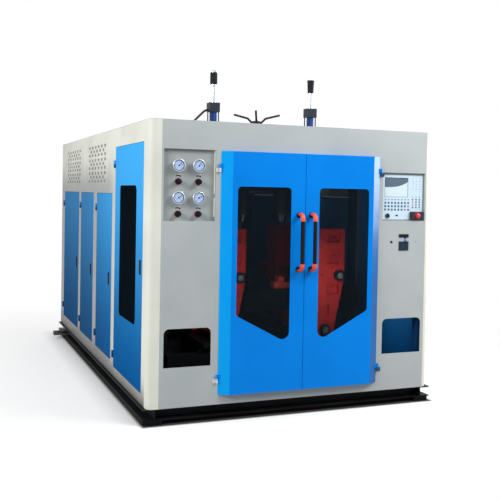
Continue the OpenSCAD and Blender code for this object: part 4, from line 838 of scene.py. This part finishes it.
# Painted light: the blue runs from painted shade low down to a painted highlight higher up, with a
# greyer painted reflection to the rear.
painted_light_height = climb(side_blue, "Z", painted_light_low, painted_light_high)
painted_light_front_tone = add(side_tree, "ShaderNodeMix", {"data_type": "RGBA"}, {
    "Factor": painted_light_height, mix_low: srgb("#0F5494"), mix_high: srgb("#4CB8FF")})
painted_reflection_rear_tone = add(side_tree, "ShaderNodeMix", {"data_type": "RGBA"}, {
    "Factor": painted_light_height, mix_low: srgb("#2B4B70"), mix_high: srgb("#4F91C6")})
painted_light_tone = add(side_tree, "ShaderNodeMix", {"data_type": "RGBA"}, {
    "Factor": climb(side_blue, "Y", painted_reflection_front, painted_reflection_rear),
    mix_low: painted_light_front_tone.outputs[mix_out], mix_high: painted_reflection_rear_tone.outputs[mix_out]})
lay_over(side_blue, painted_light_share, painted_light_tone.outputs[mix_out])
paddle_spots = {"a": (0.250, 1.118), "b": (1.395, 0.915), "c": (2.255, 0.915), "d": (3.070, 0.915)}
paddle_half_wide = 0.013
paddle_half_high = 0.054
for side, sign in sides:
    for letter, (along, high) in paddle_spots.items():
        node = f"{side}_door_{letter}"
        dress(node, side_blue, paddle_black)
        dress_where(node, 1, lambda spot, normal: abs(spot.x) > wall_x + 0.0005
                    and abs(spot.y - front_y - along) < paddle_half_wide
                    and abs(spot.z - high) < paddle_half_high)
    dress(f"{side}_door_a_window", side_glass)


# Studio: a pale painted floor under a white sky. Away from the machine the floor shines white to
# the camera, as a lit backdrop does. Near it the floor stays plain and keeps the shadow, and under
# it the floor is painted dark as shade.
floor_mesh = bmesh.new()
bmesh.ops.create_grid(floor_mesh, x_segments=1, y_segments=1, size=60)
floor_data = bpy.data.meshes.new("floor")
floor_mesh.to_mesh(floor_data)
floor_mesh.free()
floor = bpy.data.objects.new("floor", floor_data)
floor.location.z = -0.001
bpy.context.scene.collection.objects.link(floor)
floor_paint, floor_tree, floor_shader = new_material(
    "pale_studio_floor", Roughness=0.9, Specular_IOR_Level=0.0)
floor_rays = add(floor_tree, "ShaderNodeLightPath")
floor_tone = add(floor_tree, "ShaderNodeMix", {"data_type": "RGBA"}, {
    "Factor": floor_rays.outputs["Is Camera Ray"], mix_low: srgb("#9C9C9A"),
    mix_high: srgb("#F6F6F4")})

# How far a spot of the floor is outside the base's footprint, in metres.
base_half = (1.20, 2.03, 0.0)
under_reach, near_reach, far_reach = 0.03, 0.22, 2.4
floor_place = add(floor_tree, "ShaderNodeTexCoord").outputs["Object"]
floor_side = add(floor_tree, "ShaderNodeVectorMath", {"operation": "ABSOLUTE"}, {0: floor_place})
floor_past = add(floor_tree, "ShaderNodeVectorMath", {"operation": "SUBTRACT"}, {
    0: floor_side.outputs["Vector"], 1: base_half})
floor_out = add(floor_tree, "ShaderNodeVectorMath", {"operation": "MAXIMUM"}, {
    0: floor_past.outputs["Vector"], 1: (0.0, 0.0, 0.0)})
floor_away = add(floor_tree, "ShaderNodeVectorMath", {"operation": "LENGTH"}, {
    0: floor_out.outputs["Vector"]})
floor_under, floor_near, floor_far = [
    add(floor_tree, "ShaderNodeMapRange", links={
        "Value": floor_away.outputs["Value"], "From Max": reach, "To Min": least})
    for reach, least in ((under_reach, 0.0), (near_reach, 0.0), (far_reach, 0.6))]
# Under the machine the floor is painted a dark grey as shade.
floor_painted_shade = add(floor_tree, "ShaderNodeMix", {"data_type": "RGBA"}, {
    "Factor": floor_under.outputs["Result"], mix_low: srgb("#464645"),
    mix_high: floor_tone.outputs[mix_out]})
floor_tree.links.new(floor_painted_shade.outputs[mix_out], floor_shader.inputs["Base Color"])
floor_seen = add(floor_tree, "ShaderNodeMath", {"operation": "MULTIPLY"}, {
    0: floor_near.outputs["Result"], 1: floor_far.outputs["Result"]})
floor_camera = add(floor_tree, "ShaderNodeMath", {"operation": "MULTIPLY"}, {
    0: floor_seen.outputs["Value"], 1: floor_rays.outputs["Is Camera Ray"]})
floor_mirror = add(floor_tree, "ShaderNodeMath", {"operation": "MAXIMUM"}, {
    0: floor_rays.outputs["Is Glossy Ray"], 1: floor_rays.outputs["Is Transmission Ray"]})
floor_mirrored = add(floor_tree, "ShaderNodeMath", {"operation": "MULTIPLY"}, {
    0: floor_near.outputs["Result"], 1: floor_mirror.outputs["Value"]})
floor_share = add(floor_tree, "ShaderNodeMath", {"operation": "MAXIMUM"}, {
    0: floor_camera.outputs["Value"], 1: floor_mirrored.outputs["Value"]})
floor_glow = add(floor_tree, "ShaderNodeEmission", links={"Color": (1, 1, 1, 1), "Strength": 1.0})
floor_mix = add(floor_tree, "ShaderNodeMixShader", links={
    0: floor_share.outputs["Value"], 1: floor_shader.outputs["BSDF"],
    2: floor_glow.outputs["Emission"]})
floor_tree.links.new(floor_mix.outputs["Shader"],
                     floor_tree.nodes["Material Output"].inputs["Surface"])
floor_data.materials.append(floor_paint)

# The sky is white to the camera, through glass and in mirrors, and dimmer as a lamp.
world = bpy.data.worlds.new("studio")
bpy.context.scene.world = world
world.use_nodes = True
sky = world.node_tree
sky.nodes.clear()
rays = add(sky, "ShaderNodeLightPath")
clear = add(sky, "ShaderNodeMath", {"operation": "MAXIMUM"}, {
    0: rays.outputs["Is Camera Ray"], 1: rays.outputs["Is Transmission Ray"]})
seen = add(sky, "ShaderNodeMath", {"operation": "MAXIMUM"}, {
    0: clear.outputs["Value"], 1: rays.outputs["Is Glossy Ray"]})
strength = add(sky, "ShaderNodeMapRange", links={
    "Value": seen.outputs["Value"], "To Min": 0.40, "To Max": 1.0})
white = add(sky, "ShaderNodeBackground", links={
    "Color": (1, 1, 1, 1), "Strength": strength.outputs["Result"]})
add(sky, "ShaderNodeOutputWorld", links={"Surface": white.outputs["Background"]})


def add_lamp(name, place, target, size, watts):
    """An area lamp, as wide and high as its size says, that faces a target."""
    lamp = bpy.data.lights.new(name, "AREA")
    lamp.shape = "RECTANGLE"
    lamp.size, lamp.size_y = size
    lamp.energy = watts
    holder = bpy.data.objects.new(name, lamp)
    holder.location = place
    holder.rotation_euler = (Vector(target) - Vector(place)).to_track_quat("-Z", "Y").to_euler()
    bpy.context.scene.collection.objects.link(holder)


# Soft boxes and windows light the outside. The two work lights stand just inside the front panes,
# and the roof light shines back through the upper part of the cabinet.
add_lamp("key", (-6.6, -4.8, 4.4), (-0.9, -1.5, 1.3), (2.5, 2.5), watts=300)
add_lamp("fill", (3.2, -4.8, 5.2), (0.5, -2.0, 1.8), (2.5, 2.5), watts=300)
add_lamp("left_window", (-7.0, -0.3, 3.2), (-1.2, -0.6, 1.2), (3.0, 2.5), watts=90)
add_lamp("rear_window", (1.5, 8.0, 4.2), (0.0, 2.1, 1.2), (3.0, 3.0), watts=200)
add_lamp("side_window", (5.4, -2.0, 2.4), (0.7, -2.0, 1.9), (3.0, 2.4), watts=110)
for x in (-0.56, 0.40):
    add_lamp("work_light", (x, -1.93, 0.98), (x, 0.0, 0.98), (0.32, 0.62), watts=6.5)
add_lamp("roof_light", (0.55, -0.3, 2.08), (0.2, 1.6, 1.95), (1.0, 0.14), watts=8)
